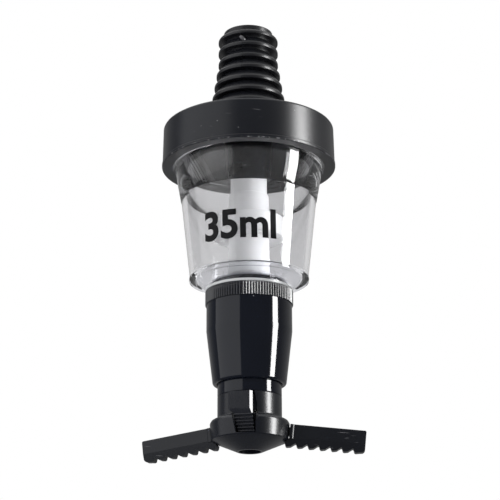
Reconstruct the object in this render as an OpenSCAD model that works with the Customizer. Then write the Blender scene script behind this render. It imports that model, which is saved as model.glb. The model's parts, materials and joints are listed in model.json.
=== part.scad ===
// Spirit measure for an inverted bottle. A ribbed bung grips the bottle neck, a clear chamber
// fills with one measure, and lifting the two toothed arms with a glass slides the plunger up:
// its tip shuts the inlet windows first, then its drain ports rise above the chamber floor.
// All lengths are millimetres. The axis is Z, the front is -Y, and the origin is the middle of
// the three ribs that grip the bottle neck.

/* [Bung] */
// Radius of the ribs that grip the bottle neck
grip_r = 10.3; // [9:0.01:12]
// Number of ribs
rib_count = 6; // [5:1:8]
// Distance from one rib to the next
rib_pitch = 4.33; // [3.6:0.01:5.5]
// Radius that each rib below the gripping ones adds
rib_growth = 0.7; // [0:0.01:1]
// Depth of the grooves between the ribs
rib_depth = 1; // [0.5:0.05:1.6]
// Height of the flat land on a rib
rib_land = 1.5; // [1:0.05:2.4]
// Radius of the lip above the top rib
lip_r = 8.43; // [7.6:0.01:9]
// Height of the lip above the middle of the top rib
lip_h = 3.27; // [2.6:0.01:5]
// Height of the foot below the middle of the last rib
foot_h = 10.8; // [6:0.1:14]
// Radius of the foot flange
foot_r = 13; // [12:0.1:13.4]
// Thickness of the foot flange
foot_t = 2; // [1:0.1:3]

/* [Inlet stem] */
// Outside radius of the stem that carries the bung
stem_r = 6; // [5.4:0.05:7]
// Bore radius of the stem
stem_bore_r = 4.4; // [3:0.05:4.8]
// Radius of the stem flange under the bung
stem_flange_r = 13.5; // [13.4:0.1:16]
// Thickness of the stem flange
stem_flange_t = 1.6; // [1:0.1:2]
// Length of the stem tail below its flange
stem_tail_h = 4; // [2:0.1:6]
// Depth of the stem mouth below the top of the bung
stem_recess = 1; // [0.5:0.1:3]

/* [Collar] */
// Radius of the collar at its lower rim
collar_r = 29.43; // [28:0.01:33]
// Height of the collar
collar_h = 14.2; // [12:0.1:16]
// Radius that the collar loses towards its top
collar_draft = 0.45; // [0:0.01:1.5]
// Thickness of the top plate
plate_t = 2.8; // [2.4:0.1:4]
// Rounding of the top edge
collar_round = 0.9; // [0.3:0.1:2]
// Height of the bead along the lower rim
bead_h = 1.1; // [0.6:0.1:2]
// How far the bead stands proud
bead_out = 0.18; // [0.05:0.01:0.5]
// Thickness of the collar's wall at its lower rim, down to the thread
collar_wall = 4.28; // [3:0.01:6]
// Chamfer at the mouth of the thread
mouth_chamfer = 0.6; // [0.2:0.05:1]

/* [Inlet boss] */
// Thickness of the shelf under the stem's tail
shelf_t = 1.4; // [1:0.1:2]
// Outside radius of the boss
boss_r = 8; // [7.6:0.05:9.5]
// Length of the boss below the top plate
boss_h = 15; // [14:0.1:18]
// Width of each inlet window
window_w = 7; // [4:0.1:8]
// Number of inlet windows
window_count = 3; // [2:1:4]

/* [Chamber] */
// Height of the threaded rim
rim_h = 10.6; // [9.5:0.1:12]
// Height of the flare under the rim
flare_h = 11.4; // [8:0.1:14]
// Outside radius where the flare meets the cone
waist_r = 22.75; // [21.5:0.05:24]
// Outside radius at the foot of the cone
base_r = 19.72; // [18.5:0.01:21]
// Overall height from rim to foot
chamber_h = 50.3; // [46:0.1:60]
// Wall thickness
chamber_wall = 1.8; // [1.2:0.05:2.4]
// Floor thickness
floor_t = 2.2; // [1.8:0.05:3]
// How far the foot bead stands proud of the cone
foot_bead = 0.22; // [0.1:0.01:0.6]
// Height of the foot bead
foot_bead_h = 1.9; // [1:0.1:3]
// Width of the foot ring
foot_ring_w = 1.9; // [1:0.1:3]
// Depth of the recess inside the foot ring
foot_recess = 0.6; // [0.2:0.1:1.5]
// Rounding between the floor and the wall inside
floor_fillet = 1.5; // [0.5:0.1:3]
// Radius of the hole in the floor
floor_hole_r = 8.6; // [8.2:0.05:9.4]
// Outside radius of the neck
neck_r = 14.3; // [14:0.05:15.5]
// Length of the neck below the floor
neck_h = 3.5; // [2.5:0.1:6]
// Thickness of the gasket under the collar plate
gasket_t = 1.2; // [0.6:0.1:2]

/* [Barrel] */
// Radius of the straight upper part
barrel_r = 14.17; // [13.8:0.01:16]
// Radius at the open lower end
barrel_end_r = 12.03; // [11.9:0.01:13.5]
// Height below the knurled ring
barrel_h = 26.9; // [24:0.1:34]
// Height of the straight upper part
barrel_straight_h = 6.9; // [3:0.1:10]
// Rounding of the lower edge
barrel_round = 0.9; // [0.3:0.1:1]
// Rounding where the straight part meets the taper
taper_round = 3; // [1:0.5:6]
// Outside radius of the threaded spigot at the top
spigot_r = 12.6; // [12.3:0.05:13.2]
// Bore radius of the spigot
spigot_bore_r = 11.05; // [10.6:0.05:11.4]
// Radius of the spring chamber
spring_room_r = 11.6; // [11.3:0.05:11.7]
// Height of the guide bore at the lower end
guide_h = 5; // [3:0.1:8]
// Thickness of the web above the spring
web_t = 1.5; // [1:0.1:3]
// Radius of the hole in the web
web_hole_r = 9.4; // [8:0.1:10]
// Depth of the flare at the mouth of the guide bore
mouth_flare = 0.6; // [0.2:0.05:0.7]

/* [Knurled ring] */
// Radius over the teeth
knurl_r = 14.57; // [14.3:0.01:16.5]
// Height of the ring
knurl_h = 4.7; // [3:0.1:8]
// Number of teeth
knurl_count = 96; // [48:4:120]
// Depth of the teeth
knurl_depth = 0.3; // [0.15:0.05:0.5]
// Share of the pitch that is the land of a tooth
knurl_land = 0.4; // [0.2:0.05:0.6]
// Thickness of the washer above the ring
washer_t = 0.8; // [0.4:0.1:1.5]

/* [Valve] */
// Outside radius of the valve tube
tube_r = 6.73; // [6.4:0.01:7]
// Radius of its tip
tip_r = 6.13; // [5.8:0.01:6.3]
// Length of the tip
tip_h = 9.4; // [8:0.1:11]
// Length of the tip that stands in the boss at rest
tip_engage = 2.5; // [1.8:0.1:3.5]
// Solid length at the top of the tube
tip_solid_h = 4; // [2.5:0.1:8]
// Bore radius of the tube
tube_bore_r = 4.6; // [4:0.05:4.9]
// Outside radius of the tube's lower end
tail_r = 5.2; // [5:0.05:5.6]
// Bore radius of the tube's lower end
tail_bore_r = 3.8; // [3:0.05:4]
// Depth of the sealing lip in the chamber floor
seal_lip_h = 0.9; // [0.5:0.05:1.2]
// Thickness of the seal's flange under the floor
seal_flange_t = 1.2; // [0.8:0.1:2]
// Radius of the seal's flange
seal_flange_r = 10.7; // [9.8:0.1:10.9]
// Width of each drain port
port_w = 4; // [2:0.1:5]
// Number of drain ports
port_count = 4; // [2:1:4]
// Radial relief round the ports
port_relief = 0.6; // [0.3:0.05:1]
// Length of the guide bush under the floor
bush_h = 11.1; // [8:0.1:14]
// Length of the bush's close bore
bush_fit_h = 6; // [4:0.1:7]
// Thickness of each round seal ring
seal_d = 1.1; // [0.9:0.05:1.2]

/* [Measure ring] */
// Outside radius of the ring round the valve tube
measure_r = 11.7; // [10:0.05:13]
// Height of the ring
measure_h = 7; // [4:0.1:10]
// Distance from the shoulder of the tube's tip to the top of the ring
measure_drop = 8.3; // [6:0.1:12]
// Wall of the ring
measure_wall = 0.9; // [0.7:0.05:1.5]
// Thickness of the web that joins the ring to the tube
measure_web_t = 1; // [0.6:0.1:2]
// Number of drain holes in the web
measure_holes = 6; // [3:1:8]
// Radius of each drain hole
measure_hole_r = 0.9; // [0.5:0.05:1]

/* [Spring] */
// Wire thickness
wire_d = 1; // [0.8:0.05:1.2]
// Mean radius of the coils
coil_r = 8.9; // [8.4:0.05:9.6]
// Number of turns
coil_turns = 6; // [4:1:7]
// Thickness of the washer above the spring
spring_washer_t = 0.8; // [0.5:0.1:1.5]
// Clearance of that washer inside and out
spring_washer_gap = 0.4; // [0.2:0.05:0.8]

/* [Actuator] */
// Outside radius of the sliding tube and the hub's sleeve
slider_r = 10.5; // [10.3:0.01:10.9]
// Length of bare tube between barrel and hub, which sets the stroke
slider_show = 4; // [3.6:0.1:6]
// Radius of the flange that stops the tube in the barrel
slider_flange_r = 11.4; // [11.2:0.05:11.5]
// Thickness of that flange
slider_flange_t = 1.4; // [1:0.1:2.5]
// Thickness of the tube's top web
slider_web_t = 2.4; // [1.6:0.1:4]
// Inside radius of the tube
slider_bore_r = 7.9; // [7.6:0.05:8.2]
// Radius of the spigot inside the hub
slider_spigot_r = 9.2; // [9:0.05:9.4]
// Radius of the clip under the web
clip_r = 7.4; // [6.6:0.1:7.5]
// Thickness of the clip
clip_t = 0.8; // [0.5:0.1:1.2]
// Number of slots between the clip's teeth
clip_slots = 6; // [4:1:8]
// Width of those slots
clip_slot_w = 0.8; // [0.5:0.1:1.2]

/* [Hub] */
// Height of the sleeve above the flange
sleeve_h = 6; // [5:0.1:9]
// Largest radius of the flange
flange_r = 12.97; // [12.6:0.01:15]
// Height of the sloping shoulder
shoulder_h = 2.7; // [2:0.1:4]
// How far the middle of the shoulder is drawn in from the flange
shoulder_in = 0.5; // [0.2:0.1:1.2]
// Rounding of the shoulder
shoulder_round = 0.9; // [0.4:0.1:1.2]
// Height of the flange side below the shoulder
flange_h = 5.2; // [4.6:0.1:8]
// Radius that the flange side loses towards the lower rim
flange_draft = 0.5; // [0:0.05:1]
// Height of the cone under the flange
cone_h = 4; // [3:0.1:7]
// Radius of the cone's tip
cone_tip_r = 4.25; // [4:0.05:5]
// Radius of the outlet
outlet_r = 3.58; // [3:0.01:3.7]
// Length of the straight outlet bore
outlet_h = 7; // [5:0.1:9]
// Depth of the seat for the valve tube below the sleeve's socket
tail_seat_h = 2.6; // [2:0.1:3]

/* [Release tab] */
// Half width of the tab's smooth upper face
tab_face_w = 3.2; // [2.5:0.1:3.6]
// Half width of the tab at the sleeve
tab_root_w = 3.9; // [3.7:0.1:4.4]
// How far the tab stands proud of the sleeve
tab_proud = 0.9; // [0.4:0.1:1.4]
// Half width of the ribbed thumb rest
thumb_w = 2.3; // [1.8:0.1:2.6]
// Length of the thumb rest below its pivot
thumb_len = 5.2; // [4:0.1:5.6]
// Length of the thumb rest above its pivot
thumb_up = 2.4; // [1.8:0.1:2.6]
// Thickness of the thumb rest
thumb_t = 1.2; // [1:0.05:1.4]
// Slope of the thumb rest from the vertical, degrees
thumb_tilt = 32; // [26:1:36]
// Number of ribs on the thumb rest
thumb_ribs = 7; // [4:1:8]
// Radius of its ribs
thumb_rib_r = 0.26; // [0.15:0.01:0.35]
// Distance of the pivot from the axis
pivot_out = 9.05; // [8.8:0.05:9.3]
// Depth of the pivot below the top of the shoulder
pivot_drop = 1.4; // [1.2:0.1:2]
// Radius of the pivot pins
pivot_r = 0.55; // [0.4:0.05:0.58]
// Length of each pivot pin beside the pocket
pivot_len = 0.8; // [0.5:0.1:1.2]
// Half width of the pocket round the thumb rest
pocket_w = 3.2; // [2.9:0.1:3.6]
// Room behind the thumb rest for its travel
pocket_room = 0.7; // [0.5:0.05:0.9]
// Length of the pocket above the pivot
pocket_up = 3; // [2.6:0.1:3.6]
// Length of the pocket past the thumb rest
pocket_past = 1.2; // [0.6:0.1:1.4]
// Height of the rim that is left below the pocket
pocket_rim = 0.35; // [0.2:0.05:0.6]

/* [Arms] */
// Length of each arm
arm_len = 23.3; // [18:0.1:40]
// Depth of an arm over its teeth
arm_h = 7.4; // [6.6:0.1:10]
// Thickness of an arm
arm_t = 3.2; // [2.6:0.1:4.5]
// Sweep of the arms to the back, degrees
arm_sweep = 6.5; // [0:0.5:12]
// Droop of the arms, degrees
arm_droop = 6.5; // [0:0.5:10]
// Drop from the flange's widest line to the top of the arms
arm_drop = 0.7; // [0.4:0.1:1.2]
// Number of teeth under an arm
tooth_count = 7; // [3:1:7]
// Distance from one tooth to the next
tooth_pitch = 3.6; // [3:0.05:3.7]
// Height of a tooth
tooth_h = 1.5; // [0.8:0.1:2]
// Width of a tooth's steep side
tooth_steep = 0.5; // [0.2:0.1:1]
// Rounding of a tooth's point
tooth_round = 0.45; // [0.2:0.05:0.6]
// Height of the arm's lower end corner above the points of the teeth
end_lift = 0.5; // [0.2:0.1:1]
// Distance of the outermost tooth's point from the tip
tooth_inset = 3.1; // [2.5:0.1:4]
// Height of the flat upper part of the arm's front face
arm_flat_h = 4.3; // [3:0.1:5]
// How far the front face turns under at the teeth
arm_turn_under = 0.9; // [0.2:0.1:1.4]
// Length of the pad at the root of an arm
pad_len = 1.3; // [0.8:0.1:2]
// How far the pad stands proud of the arm's faces
pad_proud = 0.35; // [0.1:0.05:0.6]
// Height of the pad
pad_h = 4.6; // [4:0.1:5.4]
// Length of the tenon in the hub
tenon_len = 3.2; // [2:0.1:4]
// Thickness of the tenon
tenon_t = 2.2; // [1.6:0.1:2.8]
// Height of the tenon
tenon_h = 3.2; // [2.4:0.1:3.6]

/* [Vent] */
// Distance of the vent from the axis
vent_out = 16.5; // [15:0.1:20]
// Radius of the vent valve's cap
vent_cap_r = 3; // [2:0.1:4]
// Radius of the vent valve's stem
vent_stem_r = 1.2; // [0.8:0.05:1.6]
// Thickness of the vent valve's cap
vent_cap_t = 0.9; // [0.6:0.1:1.4]

/* [Edges] */
// Rounding of small edges
edge_round = 0.3; // [0.1:0.05:0.4]
// Rounding of larger edges
soft_round = 0.5; // [0.3:0.05:0.7]

/* [Fits] */
// Radial clearance of a sliding fit
slide_gap = 0.06; // [0.02:0.01:0.1]
// Radial clearance between fixed pieces
seat_gap = 0.05; // [0.02:0.01:0.15]
// Radial clearance of the screw threads
thread_gap = 0.15; // [0.1:0.01:0.3]
// Gap that is left at the end of a travel
stop_gap = 0.3; // [0.2:0.05:0.5]
// Clearance round the release tab
tab_gap = 0.25; // [0.15:0.05:0.3]

/* [Hidden] */

$fn = 96;
// Segments of each rounded corner
arc_steps = 4;
// Ribs that all have the gripping radius
equal_ribs = 3;
// Length by which a cut runs past the face that it opens
over = 1;

// Levels from the bung down to the collar
bung_top = rib_pitch + lip_h;
mouth_z = bung_top - stem_recess;
collar_top = -(rib_count - 2) * rib_pitch - foot_h;
collar_bottom = collar_top - collar_h;
plate_bottom = collar_top - plate_t;
stem_flange_z = collar_top - stem_flange_t;
stem_tail_z = stem_flange_z - stem_tail_h;
boss_bottom = plate_bottom - boss_h;

// Levels of the chamber
rim_top = plate_bottom - gasket_t;
rim_bottom = rim_top - rim_h;
waist_z = rim_bottom - flare_h;
chamber_bottom = rim_top - chamber_h;
floor_bottom = chamber_bottom + foot_recess;
floor_top = floor_bottom + floor_t;
neck_bottom = floor_bottom - neck_h;

// Levels of the barrel
knurl_top = neck_bottom - washer_t;
barrel_top = knurl_top - knurl_h;
barrel_bottom = barrel_top - barrel_h;
taper_top = barrel_top - barrel_straight_h;
ledge_z = barrel_bottom + guide_h;
bush_top = floor_bottom - seal_flange_t;
bush_bottom = bush_top - bush_h;
web_bottom = bush_bottom - web_t;
spring_top = web_bottom - spring_washer_t;

// Levels of the plunger at rest
stroke = slider_show - stop_gap;
slider_flange_z = ledge_z + stop_gap;
slider_top = slider_flange_z + slider_flange_t;
hub_top = barrel_bottom - slider_show;
shoulder_z = hub_top - sleeve_h;
flange_z = shoulder_z - shoulder_h;
flange_bottom = flange_z - flange_h;
outlet_z = flange_bottom - cone_h;
tip_top = boss_bottom + tip_engage;
tip_step = tip_top - tip_h;
socket_bottom = shoulder_z - stop_gap;
tail_bottom = socket_bottom - tail_seat_h + stop_gap;

// Seal grooves, inlet windows and drain ports
groove_h = seal_d + 2 * seat_gap;
groove_inset = 0.4;
seal_zone = groove_inset + groove_h;
window_low = tip_top + seat_gap;
window_high = tip_top + stroke - seal_zone;
port_high = floor_top - seal_lip_h - stop_gap;
port_low = port_high - (stroke - seal_lip_h - 2 * stop_gap);
tail_groove_z = (socket_bottom + tail_bottom) / 2;

// Radii that follow from a fit
rim_r = collar_r - collar_wall - thread_gap;
boss_bore_r = tip_r + slide_gap;
tube_fit_r = tube_r + slide_gap;
slider_fit_r = slider_r + slide_gap;
hub_socket_r = slider_spigot_r + seat_gap;
tail_fit_r = tail_r + seat_gap;

// Release tab: the thumb rest lies in a plane through the pivot, and the pocket follows it
pivot = [pivot_out, shoulder_z - pivot_drop];
thumb_down = [-sin(thumb_tilt), -cos(thumb_tilt)];
thumb_face = [cos(thumb_tilt), -sin(thumb_tilt)];
tab_front = slider_r + tab_proud;
tab_back = hub_socket_r + tab_gap;
tab_top = hub_top - tab_gap;
tab_bottom = shoulder_z + tab_gap;

// Return spring between its washer and the top of the sliding tube
spring_len = spring_top - slider_top;
rings_per_turn = 8;
wire_sides = 6;
spring_path = [for (k = [0:coil_turns * rings_per_turn])
    let (turn = 360 * k / rings_per_turn)
    [coil_r * cos(turn), coil_r * sin(turn),
        slider_top + wire_d / 2 + seat_gap
        + k * (spring_len - wire_d - 2 * seat_gap) / (coil_turns * rings_per_turn)]];
spring_gap = min([for (i = [0:len(spring_path) - 1], j = [i + rings_per_turn / 2:1:len(spring_path) - 1])
    norm(spring_path[i] - spring_path[j])]) - wire_d;
echo(stroke = stroke, spring_gap = spring_gap, outlet_z = outlet_z);

function unit(v) = v / norm(v);
function flat(p) = [p[0], p[1]];
function rib_z(i) = (1 - i) * rib_pitch;
function rib_r(i) = grip_r + max(0, i - equal_ribs + 1) * rib_growth;

// Arc that rounds the corner p between its neighbours a and b, held within half of each side
function corner(a, p, b, r) =
    let (u = unit(a - p), w = unit(b - p), half = acos(u * w) / 2,
        reach = min(r / tan(half), 0.48 * norm(a - p), 0.48 * norm(b - p)),
        arc_r = reach * tan(half), centre = p + unit(u + w) * (arc_r / sin(half)),
        first = p + u * reach - centre, last = p + w * reach - centre)
    [for (k = [0:arc_steps]) centre + arc_r * unit(first * (arc_steps - k) + last * k)];

// Outline through points of the form [x, y] or [x, y, corner radius]
function outline(pts) =
    [for (i = [0:len(pts) - 1])
        let (p = pts[i], a = pts[(i + len(pts) - 1) % len(pts)], b = pts[(i + 1) % len(pts)])
        each len(p) == 3 ? corner(flat(a), flat(p), flat(b), p[2]) : [p]];

// Turned piece from an outline of [radius, height] points
module turned(pts) {
    rotate_extrude() polygon(outline(pts));
}

// Flat ring between two radii and two levels
module ring(inner_r, outer_r, low, high) {
    turned([[inner_r, low], [outer_r, low], [outer_r, high], [inner_r, high]]);
}

// Round seal ring that fills a groove to the given outside radius
module seal_ring(outer_r, z) {
    translate([0, 0, z]) rotate_extrude() translate([outer_r - seal_d / 2, 0]) circle(d = seal_d, $fn = 24);
}

// Groove for a seal ring in a shaft of the given radius
module seal_groove(shaft_r, z) {
    ring(shaft_r - seal_d - seat_gap, shaft_r + over, z - groove_h / 2, z + groove_h / 2);
}

// Slots cut through a tube wall at even angles
module wall_slots(count, width, low, high, reach) {
    for (k = [0:count - 1])
        rotate([0, 0, 360 * k / count])
            translate([0, -width / 2, low])
                cube([reach, width, high - low]);
}

// Plate of the given half width that stands in the plane x = 0, drawn as [distance to front, z]
module front_plate(half_w) {
    rotate([90, 0, -90]) linear_extrude(2 * half_w, center = true) children();
}

module bung() {
    color("#1d1d1f") turned(concat(
        [[stem_r + seat_gap, collar_top], [foot_r, collar_top, soft_round],
            [foot_r, collar_top + foot_t, soft_round],
            [rib_r(rib_count - 1) - rib_depth, collar_top + foot_t + rib_depth, soft_round]],
        [for (i = [rib_count - 1:-1:0]) each [
            [rib_r(i) - rib_depth, rib_z(i) - rib_pitch / 2, edge_round],
            [rib_r(i), rib_z(i) - rib_land / 2, edge_round],
            [rib_r(i), rib_z(i) + rib_land / 2, edge_round]]],
        [[lip_r, rib_z(0) + rib_pitch / 2, edge_round], [lip_r, bung_top, soft_round],
            [stem_r + seat_gap, bung_top, edge_round]]));
}

module inlet_stem() {
    color("#2a2a2c") turned([
        [stem_bore_r, stem_tail_z], [stem_r, stem_tail_z, edge_round], [stem_r, stem_flange_z],
        [stem_flange_r, stem_flange_z], [stem_flange_r, collar_top], [stem_r, collar_top],
        [stem_r, mouth_z, edge_round], [stem_bore_r, mouth_z, edge_round]]);
}

module collar() {
    thread_r = rim_r + thread_gap;
    land_r = collar_r - bead_out;
    shelf_z = stem_tail_z - shelf_t;
    color("#232325") difference() {
        turned([
            [boss_bore_r, boss_bottom], [boss_r, boss_bottom, edge_round], [boss_r, plate_bottom, soft_round],
            [thread_r, plate_bottom], [thread_r, collar_bottom + mouth_chamfer],
            [thread_r + mouth_chamfer, collar_bottom], [collar_r, collar_bottom, edge_round],
            [collar_r, collar_bottom + bead_h, edge_round], [land_r, collar_bottom + bead_h + bead_out],
            [collar_r - collar_draft, collar_top, collar_round],
            [stem_flange_r + seat_gap, collar_top], [stem_flange_r + seat_gap, stem_flange_z],
            [stem_r + seat_gap, stem_flange_z], [stem_r + seat_gap, stem_tail_z],
            [stem_bore_r, stem_tail_z], [stem_bore_r, shelf_z],
            [boss_bore_r, shelf_z - (boss_bore_r - stem_bore_r)]]);
        wall_slots(window_count, window_w, window_low, window_high, boss_r + over);
        translate([0, vent_out, plate_bottom - over])
            cylinder(r = vent_stem_r + seat_gap, h = plate_t + 2 * over);
    }
}

module cap_gasket() {
    color("#3a3a3c") ring(rim_r - chamber_wall, rim_r, rim_top, plate_bottom);
}

module vent_valve() {
    color("#4a4a4c") translate([0, vent_out, 0]) turned([
        [0, plate_bottom - vent_cap_t], [vent_cap_r / 2, plate_bottom - vent_cap_t],
        [vent_cap_r, plate_bottom - vent_cap_t / 3], [vent_cap_r, plate_bottom],
        [vent_stem_r, plate_bottom], [vent_stem_r, collar_top - collar_round],
        [0, collar_top - collar_round]]);
}

module chamber() {
    foot_z = chamber_bottom + foot_bead_h;
    bead_r = base_r + foot_bead;
    color([0.86, 0.9, 0.92, 0.35]) turned([
        [floor_hole_r, floor_bottom], [spigot_r + thread_gap, floor_bottom],
        [spigot_r + thread_gap, neck_bottom], [neck_r, neck_bottom, edge_round],
        [neck_r, floor_bottom, edge_round], [bead_r - foot_ring_w, floor_bottom, edge_round],
        [bead_r - foot_ring_w, chamber_bottom, edge_round],
        [bead_r, chamber_bottom, soft_round], [bead_r, foot_z - foot_bead], [base_r, foot_z],
        [waist_r, waist_z], [rim_r, rim_bottom], [rim_r, rim_top], [rim_r - chamber_wall, rim_top],
        [rim_r - chamber_wall, rim_bottom], [waist_r - chamber_wall, waist_z],
        [base_r - chamber_wall, floor_top, floor_fillet], [floor_hole_r, floor_top]]);
}

module outlet_seal() {
    color("#3a3a3c") turned([
        [tube_fit_r + port_relief, bush_top], [seal_flange_r, bush_top], [seal_flange_r, floor_bottom],
        [floor_hole_r - seat_gap, floor_bottom], [floor_hole_r - seat_gap, floor_top],
        [tube_fit_r, floor_top], [tube_fit_r, floor_top - seal_lip_h],
        [tube_fit_r + port_relief, floor_top - seal_lip_h - port_relief / 2]]);
}

module guide_bush() {
    bush_r = spigot_bore_r - seat_gap;
    color("#d9dadb") turned([
        [tube_fit_r, bush_bottom], [bush_r, bush_bottom], [bush_r, bush_top],
        [tube_fit_r + port_relief, bush_top],
        [tube_fit_r + port_relief, bush_bottom + bush_fit_h + port_relief],
        [tube_fit_r, bush_bottom + bush_fit_h]]);
}

module neck_washer() {
    color("#eceef0") ring(spigot_r + seat_gap, knurl_r, knurl_top, neck_bottom);
}

module knurled_ring() {
    step = 360 / knurl_count;
    land = knurl_land * step;
    valley = (step + land) / 2;
    teeth = [for (k = [0:knurl_count - 1]) each [
        knurl_r * [cos(k * step), sin(k * step)],
        knurl_r * [cos(k * step + land), sin(k * step + land)],
        (knurl_r - knurl_depth) * [cos(k * step + valley), sin(k * step + valley)]]];
    color("#19191b") translate([0, 0, barrel_top]) difference() {
        linear_extrude(knurl_h) polygon(teeth);
        translate([0, 0, -over]) cylinder(r = spigot_r + seat_gap, h = knurl_h + 2 * over);
    }
}

module barrel() {
    color("#121214") turned([
        [slider_fit_r + mouth_flare, barrel_bottom], [barrel_end_r, barrel_bottom, barrel_round],
        [barrel_r, taper_top, taper_round], [barrel_r, barrel_top], [spigot_r, barrel_top],
        [spigot_r, floor_bottom - stop_gap, edge_round], [spigot_bore_r, floor_bottom - stop_gap],
        [spigot_bore_r, bush_bottom], [web_hole_r, bush_bottom], [web_hole_r, web_bottom],
        [spring_room_r, web_bottom], [spring_room_r, ledge_z],
        [slider_fit_r, ledge_z], [slider_fit_r, barrel_bottom + mouth_flare]]);
}

module spring_washer() {
    color("#b9bcc0")
        ring(tube_r + spring_washer_gap, spring_room_r - spring_washer_gap, spring_top, web_bottom);
}

module return_spring() {
    points = [for (p = spring_path)
        let (out = unit([p[0], p[1], 0]))
        for (s = [0:wire_sides - 1])
            p + wire_d / 2 * (cos(360 * s / wire_sides) * out + sin(360 * s / wire_sides) * [0, 0, 1])];
    last = len(spring_path) - 1;
    sides = [for (i = [0:last - 1], s = [0:wire_sides - 1])
        let (a = i * wire_sides + s, b = i * wire_sides + (s + 1) % wire_sides)
        each [[a, a + wire_sides, b], [b, a + wire_sides, b + wire_sides]]];
    caps = [for (s = [1:wire_sides - 2]) each [
        [0, s, s + 1],
        [last * wire_sides, last * wire_sides + s + 1, last * wire_sides + s]]];
    color("#c3c6c9") polyhedron(points, concat(sides, caps));
}

module valve_tube() {
    color("#e9ebec") difference() {
        turned([
            [tail_bore_r, tail_bottom], [tail_r, tail_bottom, edge_round], [tail_r, slider_top],
            [tube_r, slider_top],
            [tube_r, tip_step, soft_round], [tip_r, tip_step], [tip_r, tip_top, edge_round], [0, tip_top],
            [0, tip_top - tip_solid_h], [tube_bore_r, tip_top - tip_solid_h], [tube_bore_r, slider_top],
            [tail_bore_r, slider_top - (tube_bore_r - tail_bore_r)]]);
        seal_groove(tip_r, tip_top - groove_inset - groove_h / 2);
        seal_groove(tail_r, tail_groove_z);
        wall_slots(port_count, port_w, port_low, port_high, tube_r + over);
    }
}

module inlet_seal() {
    color("#3a3a3c") seal_ring(tip_r, tip_top - groove_inset - groove_h / 2);
}

module measure_ring() {
    ring_top = tip_step - measure_drop;
    ring_low = ring_top - measure_h;
    web_top = ring_low + measure_web_t;
    sleeve_r = tube_r + seat_gap + measure_wall;
    hole_out = (sleeve_r + measure_r - measure_wall) / 2;
    color([0.93, 0.94, 0.95, 0.6]) difference() {
        turned([
            [tube_r + seat_gap, ring_low], [measure_r, ring_low, edge_round],
            [measure_r, ring_top, edge_round],
            [measure_r - measure_wall, ring_top, edge_round], [measure_r - measure_wall, web_top, edge_round],
            [sleeve_r, web_top, edge_round], [sleeve_r, web_top + measure_web_t],
            [tube_r + seat_gap, web_top + measure_web_t]]);
        for (k = [0:measure_holes - 1])
            rotate([0, 0, 360 * k / measure_holes])
                translate([hole_out, 0, ring_low - over])
                    cylinder(r = measure_hole_r, h = measure_web_t + 2 * over, $fn = 24);
    }
}

module slider_tube() {
    color("#141416") turned([
        [slider_bore_r, socket_bottom + stop_gap], [slider_spigot_r, socket_bottom + stop_gap, edge_round],
        [slider_spigot_r, hub_top], [slider_r, hub_top, edge_round], [slider_r, slider_flange_z],
        [slider_flange_r, slider_flange_z], [slider_flange_r, slider_top, edge_round],
        [tail_fit_r, slider_top],
        [tail_fit_r, slider_top - slider_web_t], [slider_bore_r, slider_top - slider_web_t]]);
}

module tube_clip() {
    clip_top = slider_top - slider_web_t;
    color("#b9bcc0") difference() {
        ring(tail_fit_r, clip_r, clip_top - clip_t, clip_top);
        wall_slots(clip_slots, clip_slot_w, clip_top - clip_t - over, clip_top + over,
            (tail_fit_r + clip_r) / 2);
    }
}

module spout_seal() {
    color("#3a3a3c") seal_ring(tail_r, tail_groove_z);
}

// Tenon of the right arm, grown by a clearance where it cuts its socket
module arm_tenon(grow) {
    translate([-tenon_len - grow, -tenon_t / 2 - grow, -(pad_h + tenon_h) / 2 - grow])
        cube([tenon_len + grow + over, tenon_t + 2 * grow, tenon_h + 2 * grow]);
}

// Places the right arm's root on the side of the flange
module at_arm_root() {
    translate([0, 0, flange_z - arm_drop])
        rotate([0, 0, arm_sweep])
            translate([flange_r + tab_gap, 0, 0])
                rotate([0, arm_droop, 0])
                    children();
}

// Room in the hub for the release tab: the slot in the sleeve and the sloping pocket below it
module tab_room() {
    back = -thumb_t / 2 - pocket_room;
    floor_high = pivot - thumb_down * pocket_up + thumb_face * back;
    floor_low = pivot + thumb_down * (thumb_len + pocket_past) + thumb_face * back;
    rim = [flange_r - flange_draft, flange_bottom + pocket_rim];
    past = flange_r + over;
    front_plate(pocket_w) polygon([
        floor_high, floor_low, rim + (rim - floor_low) * (past - rim[0]) / (rim[0] - floor_low[0]),
        [past, floor_high[1]]]);
    front_plate(tab_root_w + tab_gap) polygon([
        [hub_socket_r - over, shoulder_z - tab_gap], [past, shoulder_z - tab_gap],
        [past, hub_top + over], [hub_socket_r - over, hub_top + over]]);
    translate([0, -pivot[0], pivot[1]]) rotate([0, 90, 0])
        cylinder(r = pivot_r + slide_gap, h = 2 * (pocket_w + pivot_len + tab_gap), center = true, $fn = 32);
}

module hub() {
    seat_bottom = socket_bottom - tail_seat_h;
    bore_top = outlet_z + outlet_h;
    color("#242426") difference() {
        turned([
            [outlet_r, outlet_z], [cone_tip_r, outlet_z, edge_round],
            [flange_r - flange_draft, flange_bottom, soft_round], [flange_r, flange_z, shoulder_round],
            [flange_r - shoulder_in, flange_z + shoulder_h / 2, shoulder_round],
            [slider_r, shoulder_z, soft_round],
            [slider_r, hub_top, edge_round], [hub_socket_r, hub_top], [hub_socket_r, socket_bottom],
            [tail_fit_r, socket_bottom], [tail_fit_r, seat_bottom], [outlet_r, min(bore_top, seat_bottom)]]);
        tab_room();
        at_arm_root() arm_tenon(seat_gap);
        mirror([1, 0, 0]) at_arm_root() arm_tenon(seat_gap);
    }
}

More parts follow.
